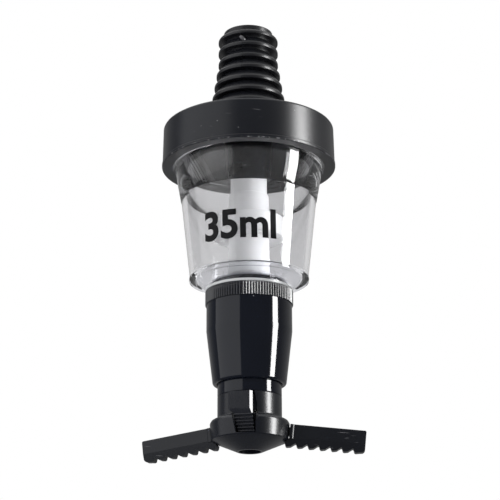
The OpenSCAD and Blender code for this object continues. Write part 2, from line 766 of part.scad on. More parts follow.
// Right arm in its own frame: x along the arm, z up, the root's top edge at the origin
module arm() {
    valley_z = -arm_h + tooth_h;
    points = [for (k = [0:tooth_count - 1])
        let (x = arm_len - tooth_inset - k * tooth_pitch)
        each [[x, -arm_h, tooth_round], [x - tooth_steep, valley_z, edge_round]]];
    side = concat([[0, 0], [arm_len, 0, soft_round], [arm_len, -arm_h + end_lift, soft_round]],
        points, [[0, -pad_h]]);
    half = arm_t / 2;
    intersection() {
        rotate([90, 0, 0]) linear_extrude(arm_t + 2 * over, center = true) polygon(outline(side));
        rotate([90, 0, 90]) translate([0, 0, -arm_len]) linear_extrude(3 * arm_len) polygon(outline([
            [-half, over], [-half, -arm_flat_h, soft_round], [-half + arm_turn_under, -arm_h - over],
            [half, -arm_h - over], [half, over]]));
    }
    translate([0, 0, -pad_h]) linear_extrude(pad_h) polygon(outline([
        [0, -half - pad_proud], [pad_len - pad_proud, -half - pad_proud], [pad_len, -half],
        [pad_len, half], [pad_len - pad_proud, half + pad_proud], [0, half + pad_proud]]));
    arm_tenon(0);
}

module right_arm() {
    color("#242426") at_arm_root() arm();
}

module left_arm() {
    color("#242426") mirror([1, 0, 0]) at_arm_root() arm();
}

module release_tab() {
    rib_step = thumb_len / thumb_ribs;
    thumb_high = pivot - thumb_down * thumb_up;
    thumb_low = pivot + thumb_down * thumb_len;
    half_t = thumb_face * thumb_t / 2;
    color("#1e1e20") {
        translate([0, 0, tab_bottom]) linear_extrude(tab_top - tab_bottom) polygon([
            [-tab_root_w, -tab_back], [-tab_root_w, -slider_r], [-tab_face_w, -tab_front],
            [tab_face_w, -tab_front], [tab_root_w, -slider_r], [tab_root_w, -tab_back]]);
        front_plate(thumb_w) polygon([
            thumb_high - half_t, thumb_low - half_t, thumb_low + half_t, thumb_high + half_t]);
        for (k = [0:thumb_ribs - 1])
            let (at = pivot + thumb_down * (k + 0.5) * rib_step + half_t)
                translate([0, -at[0], at[1]]) rotate([0, 90, 0])
                    cylinder(r = thumb_rib_r, h = 2 * thumb_w, center = true, $fn = 24);
        translate([0, -pivot[0], pivot[1]]) rotate([0, 90, 0])
            cylinder(r = pivot_r, h = 2 * (pocket_w + pivot_len), center = true, $fn = 32);
    }
}

bung();
inlet_stem();
collar();
cap_gasket();
vent_valve();
chamber();
outlet_seal();
guide_bush();
neck_washer();
knurled_ring();
barrel();
spring_washer();
return_spring();
valve_tube();
inlet_seal();
measure_ring();
slider_tube();
tube_clip();
spout_seal();
hub();
left_arm();
right_arm();
release_tab();
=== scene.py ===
"""Looks of a spirit measure that hangs under an inverted bottle.

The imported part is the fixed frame. Each sub-assembly below dresses its own pieces. It puts finer
forms in the place of the plainer solids, and adds the threads, moulding seams and volume mark that
the solids leave out. All lengths are metres, the axis is Z and the front is -Y.
"""

import json
import logging
import math
from contextlib import contextmanager
from dataclasses import dataclass, field
from enum import Enum
from typing import Any, Iterator, Sequence

import bmesh
import bpy
from mathutils import Matrix, Quaternion, Vector
from mathutils.bvhtree import BVHTree


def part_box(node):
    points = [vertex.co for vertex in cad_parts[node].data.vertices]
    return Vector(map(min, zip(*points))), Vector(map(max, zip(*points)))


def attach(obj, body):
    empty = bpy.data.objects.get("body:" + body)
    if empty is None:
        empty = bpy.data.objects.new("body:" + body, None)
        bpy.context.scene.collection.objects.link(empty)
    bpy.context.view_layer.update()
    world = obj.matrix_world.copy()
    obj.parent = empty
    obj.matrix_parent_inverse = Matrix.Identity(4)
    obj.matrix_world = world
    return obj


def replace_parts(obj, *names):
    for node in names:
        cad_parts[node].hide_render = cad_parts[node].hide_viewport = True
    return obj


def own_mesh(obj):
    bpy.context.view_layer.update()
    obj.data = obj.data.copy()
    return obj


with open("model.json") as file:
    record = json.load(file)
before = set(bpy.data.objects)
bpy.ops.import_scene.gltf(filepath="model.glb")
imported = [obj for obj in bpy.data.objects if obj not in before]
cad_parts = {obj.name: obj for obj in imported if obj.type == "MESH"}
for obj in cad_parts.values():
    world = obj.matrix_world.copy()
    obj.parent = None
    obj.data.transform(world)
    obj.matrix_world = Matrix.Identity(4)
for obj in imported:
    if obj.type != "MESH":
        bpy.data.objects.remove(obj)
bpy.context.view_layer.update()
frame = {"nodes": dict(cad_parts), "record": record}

Colour = tuple[float, float, float]
Point = tuple[float, float]

LOG = logging.getLogger("spirit_measure")
MM = 0.001
SAME = 1e-6
SHARP = math.radians(35.0)
RIGHT, UP = Vector((1, 0, 0)), Vector((0, 0, 1))
OUT, BACK = Vector((0, -1, 0)), Vector((0, 1, 0))
JET: Colour = (0.0044, 0.0056, 0.0096)
WHITE_LIGHT = (1.0, 1.0, 1.0, 1.0)


class Slot(Enum):
    """Material slots of the record."""

    RUBBER = "black_rubber"
    SATIN = "satin_black"
    GLOSS = "gloss_black"
    CLEAR = "clear_plastic"
    WHITE = "white_plastic"
    FROSTED = "frosted_plastic"
    WASHER = "washer_plastic"
    SEAL = "seal_rubber"
    STEEL = "spring_steel"


class Body(Enum):
    """Bodies that pieces ride on."""

    MEASURE = "measure"
    PLUNGER = "plunger"
    TAB = "tab"


class Extra(Enum):
    """Finishes of single pieces, which differ from their slot's own."""

    MARK_INK = "mark_ink"
    PALE_SILICONE = "pale_silicone"
    FLOW_MARK = "flow_mark"
    KNURL_GLOSS = "knurl_gloss"
    # Paler copy of the satin black: painted light that lifts the tab out of the shade of its recess.
    SPOUT_SATIN = "spout_satin"
    TAB_PAINTED_LIGHT = "tab_satin"
    CLEAR_BASE = "clear_base"


class Merge(Enum):
    """Ways to combine a piece with a tool."""

    CUT = "DIFFERENCE"
    WITHIN = "INTERSECT"
    JOIN = "UNION"


def compass(azimuth: float, distance: float, z: float) -> Vector:
    """Point at an azimuth in degrees from the front, counted towards +X."""
    turn = math.radians(azimuth)
    return Vector((math.sin(turn) * distance, -math.cos(turn) * distance, z))


class Graph:
    """Adds nodes to one tree, sets their inputs and joins them."""

    def __init__(self, tree: bpy.types.NodeTree) -> None:
        """Keep the tree."""
        self.tree = tree

    def put(self, target: bpy.types.NodeSocket, value: Any) -> None:
        """Join a socket to an input, or set the input to a constant.

        Args:
            target: the input.
            value: output socket or constant.
        """
        if isinstance(value, bpy.types.NodeSocket):
            self.tree.links.new(value, target)
        else:
            target.default_value = value

    def add(self, kind: str, inputs: dict[Any, Any] | None = None, **settings: Any) -> bpy.types.Node:
        """Add one node.

        Args:
            kind: node type.
            inputs: constant or output socket for each input, by name or index.
            settings: properties of the node.

        Returns:
            The new node.
        """
        node = self.tree.nodes.new(kind)
        for name, value in settings.items():
            setattr(node, name, value)
        for key, value in (inputs or {}).items():
            self.put(node.inputs[key], value)
        return node

    def math(self, operation: str, *values: Any) -> bpy.types.NodeSocket:
        """Result of one math operation on numbers or sockets."""
        return self.add("ShaderNodeMath", dict(enumerate(values)), operation=operation).outputs[0]

    def between(self, value: Any, low: Any, high: Any) -> bpy.types.NodeSocket:
        """Smooth step of a value from 0 at low to 1 at high."""
        node = self.add("ShaderNodeMapRange", {"Value": value, "From Min": low, "From Max": high},
                        interpolation_type="SMOOTHSTEP")
        return node.outputs["Result"]

    def blend(self, share: Any, first: Any, second: Any) -> bpy.types.NodeSocket:
        """Colour mix.

        Args:
            share: share of the second colour, a number or a socket.
            first: colour or colour socket.
            second: colour or colour socket.

        Returns:
            The mixed colour.
        """
        node = self.add("ShaderNodeMix", data_type="RGBA")
        sockets = [s for s in node.inputs if s.enabled]
        for socket, value in zip(sockets, (share, first, second)):
            self.put(socket, (*value, 1.0) if isinstance(value, tuple) else value)
        return next(s for s in node.outputs if s.enabled)

    def show(self, shader: bpy.types.Node) -> None:
        """Make a shader the material's surface."""
        self.put(self.tree.nodes["Material Output"].inputs["Surface"], shader.outputs[0])


class Effect(Graph):
    """Shared surface effect: a node group with named numbers in and named values out."""

    def __init__(self, name: str, numbers: Sequence[str], results: Sequence[str]) -> None:
        """Make the group and its sockets.

        Args:
            name: name of the group.
            numbers: names of its inputs.
            results: names of its outputs.
        """
        super().__init__(bpy.data.node_groups.new(name, "ShaderNodeTree"))
        for side, labels in (("INPUT", numbers), ("OUTPUT", results)):
            for label in labels:
                self.tree.interface.new_socket(name=label, in_out=side, socket_type="NodeSocketFloat")
        self.given = self.add("NodeGroupInput").outputs
        self.result = self.add("NodeGroupOutput").inputs
        self.place = self.add("ShaderNodeTexCoord").outputs["Object"]

    def noise(self, scale: Any, detail: float, vector: Any = None) -> bpy.types.NodeSocket:
        """Noise over the surface, at a scale in cells per metre."""
        inputs = {"Vector": vector or self.place, "Scale": scale, "Detail": detail}
        return self.add("ShaderNodeTexNoise", inputs).outputs[0]

    def height(self) -> bpy.types.NodeSocket:
        """Height above the origin."""
        return self.add("ShaderNodeSeparateXYZ", {"Vector": self.place}).outputs["Z"]

    def used_in(self, graph: Graph, numbers: dict[str, float]) -> Any:
        """Outputs of this effect, placed in a material with its own numbers."""
        return graph.add("ShaderNodeGroup", numbers, node_tree=self.tree).outputs


class Effects:
    """The four surface effects that the finishes share."""

    line_slope: float = 0.1
    line_blur: float = 0.03
    chip_blur: float = 0.08

    def __init__(self) -> None:
        """Build each group once."""
        self.grain = self._grain()
        self.dust = self._dust()
        self.hairlines = self._hairlines()
        self.worn_edge_glint = self._worn_edge_glint()

    @staticmethod
    def _grain() -> Effect:
        """Mould grain.

        Returns:
            Fine grain as a height, and broad patches of more or less gloss.
        """
        effect = Effect("mould_grain", ("Scale", "Patch scale"), ("Height", "Patches"))
        effect.put(effect.result["Height"], effect.noise(effect.given["Scale"], 3.0))
        effect.put(effect.result["Patches"], effect.noise(effect.given["Patch scale"], 5.0))
        return effect

    @staticmethod
    def _dust() -> Effect:
        """Dust.

        Returns:
            Mask of sparse round specks, each a share of its cell across.
        """
        effect = Effect("dust_specks", ("Scale", "Size", "Share"), ("Mask",))
        cells = effect.add("ShaderNodeTexVoronoi", {"Vector": effect.place, "Scale": effect.given["Scale"]})
        chance = effect.add("ShaderNodeSeparateColor", {"Color": cells.outputs["Color"]})
        near = effect.math("LESS_THAN", cells.outputs["Distance"], effect.given["Size"])
        picked = effect.math("LESS_THAN", chance.outputs["Red"], effect.given["Share"])
        effect.put(effect.result["Mask"], effect.math("MULTIPLY", near, picked))
        return effect

    @staticmethod
    def _hairlines() -> Effect:
        """Fine scratches.

        Returns:
            Mask of short lines that run round the axis at a slight slope.
        """
        effect = Effect("hairlines", ("Length scale", "Width scale", "Share"), ("Mask",))
        parts = effect.add("ShaderNodeSeparateXYZ", {"Vector": effect.place}).outputs
        slope = effect.math("MULTIPLY_ADD", parts["X"], Effects.line_slope, parts["Z"])
        stretched = effect.add("ShaderNodeCombineXYZ", {
            "X": effect.math("MULTIPLY", parts["X"], effect.given["Length scale"]),
            "Y": effect.math("MULTIPLY", parts["Y"], effect.given["Length scale"]),
            "Z": effect.math("MULTIPLY", slope, effect.given["Width scale"])})
        streak = effect.noise(1.0, 1.0, stretched.outputs[0])
        limit = effect.math("SUBTRACT", 1.0, effect.given["Share"])
        lines = effect.between(streak, limit, effect.math("ADD", limit, Effects.line_blur))
        effect.put(effect.result["Mask"], lines)
        return effect

    @staticmethod
    def _worn_edge_glint() -> Effect:
        """Rubbed edge, whose paler chips are partly wear and partly a painted highlight.

        Returns:
            Mask of broken rub marks along a turned edge between two heights.
        """
        effect = Effect("worn_edge_glint", ("Low", "High", "Scale", "Share"), ("Mask",))
        z = effect.height()
        inside = effect.math("MULTIPLY", effect.math("GREATER_THAN", z, effect.given["Low"]),
                             effect.math("LESS_THAN", z, effect.given["High"]))
        limit = effect.math("SUBTRACT", 1.0, effect.given["Share"])
        rubs = effect.noise(effect.given["Scale"], 4.0)
        glinting_chips = effect.between(rubs, limit, effect.math("ADD", limit, Effects.chip_blur))
        effect.put(effect.result["Mask"], effect.math("MULTIPLY", inside, glinting_chips))
        return effect


def blank_material(name: str) -> tuple[bpy.types.Material, Graph, bpy.types.Node]:
    """New material.

    Args:
        name: name of the material.

    Returns:
        The material, the graph that adds its nodes, and its Principled shader.
    """
    made = bpy.data.materials.new(name)
    made.use_nodes = True
    return made, Graph(made.node_tree), made.node_tree.nodes["Principled BSDF"]


@dataclass(frozen=True)
class Finish:
    """Opaque surface of one moulded or turned material."""

    colour: Colour
    roughness: float
    spread: float = 0.1
    contrast: float = 0.2
    grain_scale: float = 2600.0
    grain_depth: float = 0.02 * MM
    patch_scale: float = 60.0
    dust_colour: Colour = (0.3, 0.3, 0.31)
    dust_share: float = 0.03
    dust_scale: float = 700.0
    dust_size: float = 0.09
    dust_dulls: float = 0.2
    hairline_share: float = 0.0
    hairline_scale: tuple[float, float] = (120.0, 4500.0)
    hairline_dulls: float = 0.1
    # Paler colour of scratches, and of rubbed chips, where it is partly a painted highlight.
    scratch_and_glint_colour: Colour = (0.16, 0.16, 0.17)
    rub_scale: float = 900.0
    rub_polish: float = 0.1
    worn_glint_bands: tuple[tuple[float, float, float], ...] = ()
    metallic: float = 0.0
    coat: float = 0.0
    shine: float = 0.5

    def material(self, name: str, effects: Effects) -> bpy.types.Material:
        """Build the material.

        Args:
            name: name of the material.
            effects: the shared node groups.

        Returns:
            A material with colour, roughness and relief that change over the surface.
        """
        made, graph, shader = blank_material(name)
        grain = effects.grain.used_in(graph, {"Scale": self.grain_scale, "Patch scale": self.patch_scale})
        patches = grain["Patches"]
        darker = tuple((1 - self.contrast) * c for c in self.colour)
        paler = tuple((1 + self.contrast) * c for c in self.colour)
        tone = graph.blend(patches, darker, paler)
        rough = graph.math("MULTIPLY_ADD", patches, self.spread, self.roughness - self.spread / 2)
        for mask, colour, gloss in self._marks(graph, effects):
            tone = graph.blend(mask, tone, colour)
            rough = graph.math("MULTIPLY_ADD", mask, gloss, rough)
        bump = graph.add("ShaderNodeBump", {"Height": grain["Height"], "Distance": self.grain_depth})
        graph.put(shader.inputs["Base Color"], tone)
        graph.put(shader.inputs["Roughness"], rough)
        graph.put(shader.inputs["Normal"], bump.outputs[0])
        shader.inputs["Metallic"].default_value = self.metallic
        shader.inputs["Specular IOR Level"].default_value = self.shine
        shader.inputs["Coat Weight"].default_value = self.coat
        return made

    def _marks(self, graph: Graph, effects: Effects) -> list[tuple[bpy.types.NodeSocket, Colour, float]]:
        """Dust, hairlines, and rubbed edges whose paler chips are partly wear and partly a painted highlight.

        Args:
            graph: the material's nodes.
            effects: the shared node groups.

        Returns:
            For each mark its mask, its colour and what it adds to the roughness.
        """
        marks = []
        if self.dust_share:
            specks = effects.dust.used_in(graph, {
                "Scale": self.dust_scale, "Size": self.dust_size, "Share": self.dust_share})
            marks.append((specks["Mask"], self.dust_colour, self.dust_dulls))
        if self.hairline_share:
            along, across = self.hairline_scale
            lines = effects.hairlines.used_in(graph, {
                "Length scale": along, "Width scale": across, "Share": self.hairline_share})
            marks.append((lines["Mask"], self.scratch_and_glint_colour, self.hairline_dulls))
        # Rubbed edges take the paler colour: partly wear, partly a painted highlight on the chips.
        for low, high, share in self.worn_glint_bands:
            edge = effects.worn_edge_glint.used_in(graph, {
                "Low": low, "High": high, "Scale": self.rub_scale, "Share": share})
            marks.append((edge["Mask"], self.scratch_and_glint_colour, -self.rub_polish))
        return marks


@dataclass(frozen=True)
class Glass:
    """See-through plastic, clear or frosted, that lets the lamps reach what is inside."""

    tint: Colour
    ior: float
    roughness: float = 0.0
    transmission: float = 1.0
    smear: float = 0.02
    coat: float = 0.0
    grain_scale: float = 400.0
    patch_scale: float = 45.0
    paler: float = 1.04

    def material(self, name: str, effects: Effects) -> bpy.types.Material:
        """Build the material.

        Args:
            name: name of the material.
            effects: the shared node groups.

        Returns:
            A refracting material with faint smears.
        """
        made, graph, shader = blank_material(name)
        grain = effects.grain.used_in(graph, {"Scale": self.grain_scale, "Patch scale": self.patch_scale})
        smears = graph.math("MULTIPLY_ADD", grain["Patches"], self.smear, self.roughness)
        paler = tuple(min(1.0, self.paler * c) for c in self.tint)
        graph.put(shader.inputs["Base Color"], graph.blend(grain["Patches"], self.tint, paler))
        graph.put(shader.inputs["Roughness"], smears)
        shader.inputs["IOR"].default_value = self.ior
        shader.inputs["Transmission Weight"].default_value = self.transmission
        shader.inputs["Coat Weight"].default_value = self.coat
        clear = graph.add("ShaderNodeBsdfTransparent", {"Color": (*(c ** 0.5 for c in self.tint), 1.0)})
        path = graph.add("ShaderNodeLightPath")
        graph.show(graph.add("ShaderNodeMixShader", {
            0: path.outputs["Is Shadow Ray"], 1: shader.outputs[0], 2: clear.outputs[0]}))
        return made


@dataclass
class Wardrobe:
    """All finishes, and the means to put them on pieces."""

    finishes: dict[Slot | Extra, Finish | Glass]
    made: dict[Slot | Extra, bpy.types.Material] = field(default_factory=dict)

    def build(self) -> None:
        """Make every material."""
        effects = Effects()
        for key, finish in self.finishes.items():
            self.made[key] = finish.material(key.value, effects)

    def dress_nodes(self) -> None:
        """Put each CAD node's finish on it, by the slot that the record gives it."""
        for part in frame["record"]["subparts"]:
            node = frame["nodes"][part["node"]]
            for place in node.material_slots:
                place.material = self.made[Slot(part["material_slot"])]
            LOG.info("dressed %s in %s", part["node"], part["material_slot"])

    def add_piece(self, piece: bpy.types.Object, slot: Slot, body: Body,
                  finish: Extra | None = None) -> bpy.types.Object:
        """Dress a new piece and make it ride on its body.

        Args:
            piece: the new object.
            slot: the record's slot that it takes its finish from.
            body: the body that carries it.
            finish: another finish, where the slot's own isn't used.

        Returns:
            The same piece.
        """
        piece.data.materials.append(self.made[finish or slot])
        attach(piece, body.value)
        LOG.info("added %s on %s", piece.name, body.value)
        return piece


@dataclass(frozen=True)
class Thread:
    """Rounded helical thread in a turned wall."""

    wall_r: float
    low: float
    high: float
    pitch: float
    depth: float
    samples: int = 12

    def levels(self) -> list[float]:
        """Heights at which the wall is sampled, from low to high."""
        count = round((self.high - self.low) / self.pitch * self.samples)
        return [self.low + (self.high - self.low) * k / count for k in range(count + 1)]

    def offset(self, radius: float, z: float, angle: float) -> float:
        """Change of the wall's radius.

        Args:
            radius: radius of the plain wall there.
            z: height.
            angle: angle round the axis.

        Returns:
            The offset, which runs out over one turn at both ends.
        """
        if abs(radius - self.wall_r) > SAME or not self.low < z < self.high:
            return 0.0
        turn = (z - self.low) / self.pitch - angle / math.tau
        run_out = min(1.0, (z - self.low) / self.pitch, (self.high - z) / self.pitch)
        return self.depth * run_out * (1 - math.cos(math.tau * turn)) / 2


def rounded(points: Sequence[tuple[float, ...]], steps: int = 6) -> list[Point]:
    """Outline with rounded corners.

    Args:
        points: corners as (radius, height) or (radius, height, rounding).
        steps: segments of each rounding.

    Returns:
        Points of the closed outline.
    """
    made: list[Point] = []
    for k, corner in enumerate(points):
        here = Vector(corner[:2])
        if len(corner) == 2:
            made.append((here.x, here.y))
            continue
        back = (Vector(points[k - 1][:2]) - here).normalized()
        ahead = (Vector(points[(k + 1) % len(points)][:2]) - here).normalized()
        half = back.angle(ahead) / 2
        reach = corner[2] / math.tan(half)
        centre = here + (back + ahead).normalized() * (corner[2] / math.sin(half))
        first, last = here + back * reach - centre, here + ahead * reach - centre
        for step in range(steps + 1):
            spoke = first.lerp(last, step / steps).normalized() * corner[2]
            made.append(tuple(centre + spoke))
    return made


def circle(radius: float, sides: int) -> list[Point]:
    """Corners of a round section about its middle."""
    angles = [math.tau * i / sides for i in range(sides)]
    return [(radius * math.cos(a), radius * math.sin(a)) for a in angles]


def linked(name: str, data: bpy.types.ID) -> bpy.types.Object:
    """New object in the scene.

    Args:
        name: name of the object.
        data: its mesh, curve, lamp or camera.

    Returns:
        The object.
    """
    made = bpy.data.objects.new(name, data)
    bpy.context.scene.collection.objects.link(made)
    return made


@contextmanager
def edited(mesh: bpy.types.Mesh) -> Iterator[bmesh.types.BMesh]:
    """Mesh opened for changes, which are kept when it closes.

    Args:
        mesh: the mesh.

    Returns:
        The open mesh, for a with statement.
    """
    work = bmesh.new()
    work.from_mesh(mesh)
    yield work
    work.to_mesh(mesh)
    work.free()


def slice_faces(work: bmesh.types.BMesh, point: Vector, normal: Vector) -> None:
    """Cut every face along a plane, so that it can bend there."""
    everything = [*work.verts, *work.edges, *work.faces]
    bmesh.ops.bisect_plane(work, geom=everything, plane_co=point, plane_no=normal)


def evaluated(piece: bpy.types.Object) -> bpy.types.Mesh:
    """New mesh of an object, with its modifiers applied."""
    bpy.context.view_layer.update()
    return bpy.data.meshes.new_from_object(piece.evaluated_get(bpy.context.evaluated_depsgraph_get()))


def mesh_object(name: str, vertices: Sequence[Sequence[float]],
                faces: Sequence[Sequence[int]]) -> bpy.types.Object:
    """New smooth mesh object with sharp edges.

    Args:
        name: name of the piece.
        vertices: points.
        faces: loops of point numbers.

    Returns:
        The object.
    """
    mesh = bpy.data.meshes.new(name)
    mesh.from_pydata([tuple(v) for v in vertices], [], [tuple(f) for f in faces])
    with edited(mesh) as work:
        bmesh.ops.recalc_face_normals(work, faces=work.faces)
        for face in work.faces:
            face.smooth = True
    mesh.set_sharp_from_angle(angle=SHARP)
    return linked(name, mesh)


def round_trip(steps: int, count: int) -> list[tuple[int, ...]]:
    """Faces between sections that follow each other once round the axis.

    Args:
        steps: number of sections.
        count: points of each closed section.

    Returns:
        Loops of point numbers.
    """
    return [(k * count + i, k * count + (i + 1) % count, (k + 1) % steps * count + (i + 1) % count,
             (k + 1) % steps * count + i) for k in range(steps) for i in range(count)]


def turned(name: str, outline: Sequence[Point], threads: Sequence[Thread] = (),
           steps: int = 180) -> bpy.types.Object:
    """Turned solid with threads.

    Args:
        name: name of the piece.
        outline: closed outline of (radius, height) points.
        threads: threads cut into its straight walls.
        steps: segments round the axis.

    Returns:
        The object.
    """
    points: list[Point] = []
    for here, ahead in zip(outline, [*outline[1:], outline[0]]):
        points.append(here)
        for thread in threads:
            if max(abs(here[0] - thread.wall_r), abs(ahead[0] - thread.wall_r)) < SAME:
                levels = thread.levels()
                points += [(thread.wall_r, z) for z in (levels if ahead[1] > here[1] else reversed(levels))]
    vertices = []
    for k in range(steps):
        angle = math.tau * k / steps
        for radius, z in points:
            r = radius + sum(t.offset(radius, z, angle) for t in threads)
            vertices.append((r * math.sin(angle), -r * math.cos(angle), z))
    return mesh_object(name, vertices, round_trip(steps, len(points)))


def swept(name: str, loops: Sequence[Sequence[Vector]]) -> bpy.types.Object:
    """Closed solid through equal loops of points, with its ends capped.

    Args:
        name: name of the piece.
        loops: cross-sections in order, each with as many points.

    Returns:
        The object.
    """
    count = len(loops[0])
    faces: list[Sequence[int]] = [range(count), range((len(loops) - 1) * count, len(loops) * count)]
    for k in range(len(loops) - 1):
        for i in range(count):
            low, ahead = k * count + i, k * count + (i + 1) % count
            faces.append((low, ahead, ahead + count, low + count))
    return mesh_object(name, [p for loop in loops for p in loop], faces)


def prism(name: str, outline: Sequence[Point], axes: tuple[Vector, Vector, Vector],
          depth: tuple[float, float]) -> bpy.types.Object:
    """Flat outline drawn out to a solid.

    Args:
        name: name of the piece.
        outline: corners along the first two axes.
        axes: the outline's two axes and the one that it is drawn out along.
        depth: start and end along that third axis.

    Returns:
        The object.
    """
    return swept(name, [[axes[0] * u + axes[1] * v + axes[2] * w for u, v in outline] for w in depth])


def combine(piece: bpy.types.Object, way: Merge, tool: bpy.types.Object) -> None:
    """Cut a piece by a tool, keep what is within the tool or join the two. The tool is used up.

    Args:
        piece: the piece.
        way: what is done.
        tool: the other solid.
    """
    step = piece.modifiers.new("shape", "BOOLEAN")
    step.operation = way.value
    step.object = tool
    shaped = evaluated(piece)
    piece.modifiers.clear()
    piece.data = shaped
    shaped.set_sharp_from_angle(angle=SHARP)
    bpy.data.objects.remove(tool)


@dataclass
class Bung:
    """Ribbed rubber bung: drawn-in ribs, parting seams and the moulding's flow mark."""

    bore_r: float = 6.1 * MM
    lip_r: float = 8.43 * MM
    lip_rise: float = 2.3 * MM
    first_drop: float = 3.77 * MM
    ribs: int = 7
    equal_ribs: int = 3
    grip_r: float = 10.3 * MM
    growth: float = 0.7 * MM
    pitch: float = 4.33 * MM
    depth: float = 2.0 * MM
    land: float = 1.1 * MM
    shoulder: float = 1.0 * MM
    rib_h: float = 3.6 * MM
    foot_r: float = 13.0 * MM
    foot_t: float = 2.0 * MM
    edge: float = 0.12 * MM
    seam_w: float = 0.22 * MM
    seam_h: float = 0.12 * MM
    seam_sink: float = 0.15 * MM
    seam_crown: float = 0.6
    seam_step: float = 0.12 * MM
    nub_from: tuple[float, float] = (-7.3, 3.5 * MM)
    nub_to: tuple[float, float] = (7.3, 0.6 * MM)
    nub_w: float = 0.55 * MM
    nub_r: float = 10.45 * MM
    nub_root_r: float = 8.0 * MM
    nub_end: float = 0.25
    nub_blunt: float = 0.4
    nub_steps: int = 12

    def rubber(self) -> bpy.types.Object:
        """The bung, each rib with a sharp lower edge and a drawn-in upper shoulder.

        Returns:
            The piece.
        """
        low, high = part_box("bung")
        corners: list[tuple[float, ...]] = [
            (self.bore_r, low.z), (self.foot_r, low.z, self.edge),
            (self.foot_r, low.z + self.foot_t, self.edge)]
        for i in reversed(range(self.ribs)):
            radius = self.grip_r + max(0, i - self.equal_ribs + 1) * self.growth
            edge_z = high.z - self.first_drop - i * self.pitch
            above = (radius - self.depth, edge_z + self.rib_h) if i else (self.lip_r, edge_z + self.lip_rise)
            corners += [(radius - self.depth, edge_z), (radius, edge_z, self.edge),
                        (radius, edge_z + self.land, self.shoulder), above]
        corners += [(self.lip_r, high.z, self.edge), (self.bore_r, high.z)]
        return turned("bung_rubber", rounded(corners))

    def seam(self, name: str, azimuth: float, tree: BVHTree) -> bpy.types.Object:
        """Fine flash line down the side.

        Args:
            name: name of the piece.
            azimuth: side of the bung, in degrees from the front.
            tree: the bung's surface.

        Returns:
            The seam.
        """
        low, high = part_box("bung")
        outward = compass(azimuth, 1.0, 0.0)
        across = outward.cross(UP)
        count = round((high.z - low.z) / self.seam_step)
        section = ((-1.0, -self.seam_sink), (-self.seam_crown, self.seam_h), (self.seam_crown, self.seam_h),
                   (1.0, -self.seam_sink))
        loops = []
        for k in range(1, count):
            start = compass(azimuth, 2 * high.x, low.z + (high.z - low.z) * k / count)
            hit = tree.ray_cast(start, -outward)[0]
            if hit is not None:
                loops.append([hit + across * (side * self.seam_w / 2) + outward * rise
                              for side, rise in section])
        return swept(name, loops)

    def nub(self) -> bpy.types.Object:
        """Slanting bar across the first groove.

        Returns:
            The piece.
        """
        first, last = self.nub_from, self.nub_to
        along = (compass(last[0], self.nub_r, last[1]) - compass(first[0], self.nub_r, first[1])).normalized()
        loops = []
        for k in range(self.nub_steps + 1):
            share = k / self.nub_steps
            azimuth, z = (start + (end - start) * share for start, end in zip(first, last))
            taper = max(self.nub_end, math.sin(math.pi * share) ** self.nub_blunt)
            crest = self.nub_root_r + (self.nub_r - self.nub_root_r) * taper
            out = compass(azimuth, 1.0, 0.0)
            side = along.cross(out).normalized() * (self.nub_w * taper)
            middle = UP * z
            root, top = middle + out * self.nub_root_r, middle + out * crest
            shoulder = middle + out * (crest - self.nub_w / 3)
            loops.append([root - side, shoulder - side, top - side / 2,
                          top + side / 2, shoulder + side, root + side])
        return swept("bung_nub", loops)

    def build(self, wardrobe: Wardrobe) -> None:
        """Put the drawn-in ribs in the plain ones' place, and add the seams and the nub.

        Args:
            wardrobe: the finishes.
        """
        rubber = wardrobe.add_piece(self.rubber(), Slot.RUBBER, Body.MEASURE)
        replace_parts(rubber, "bung")
        mesh = rubber.data
        tree = BVHTree.FromPolygons([v.co for v in mesh.vertices], [p.vertices for p in mesh.polygons])
        for name, azimuth in (("bung_seam_front", 0.0), ("bung_seam_back", 180.0)):
            wardrobe.add_piece(self.seam(name, azimuth, tree), Slot.RUBBER, Body.MEASURE)
        wardrobe.add_piece(self.nub(), Slot.RUBBER, Body.MEASURE, Extra.FLOW_MARK)


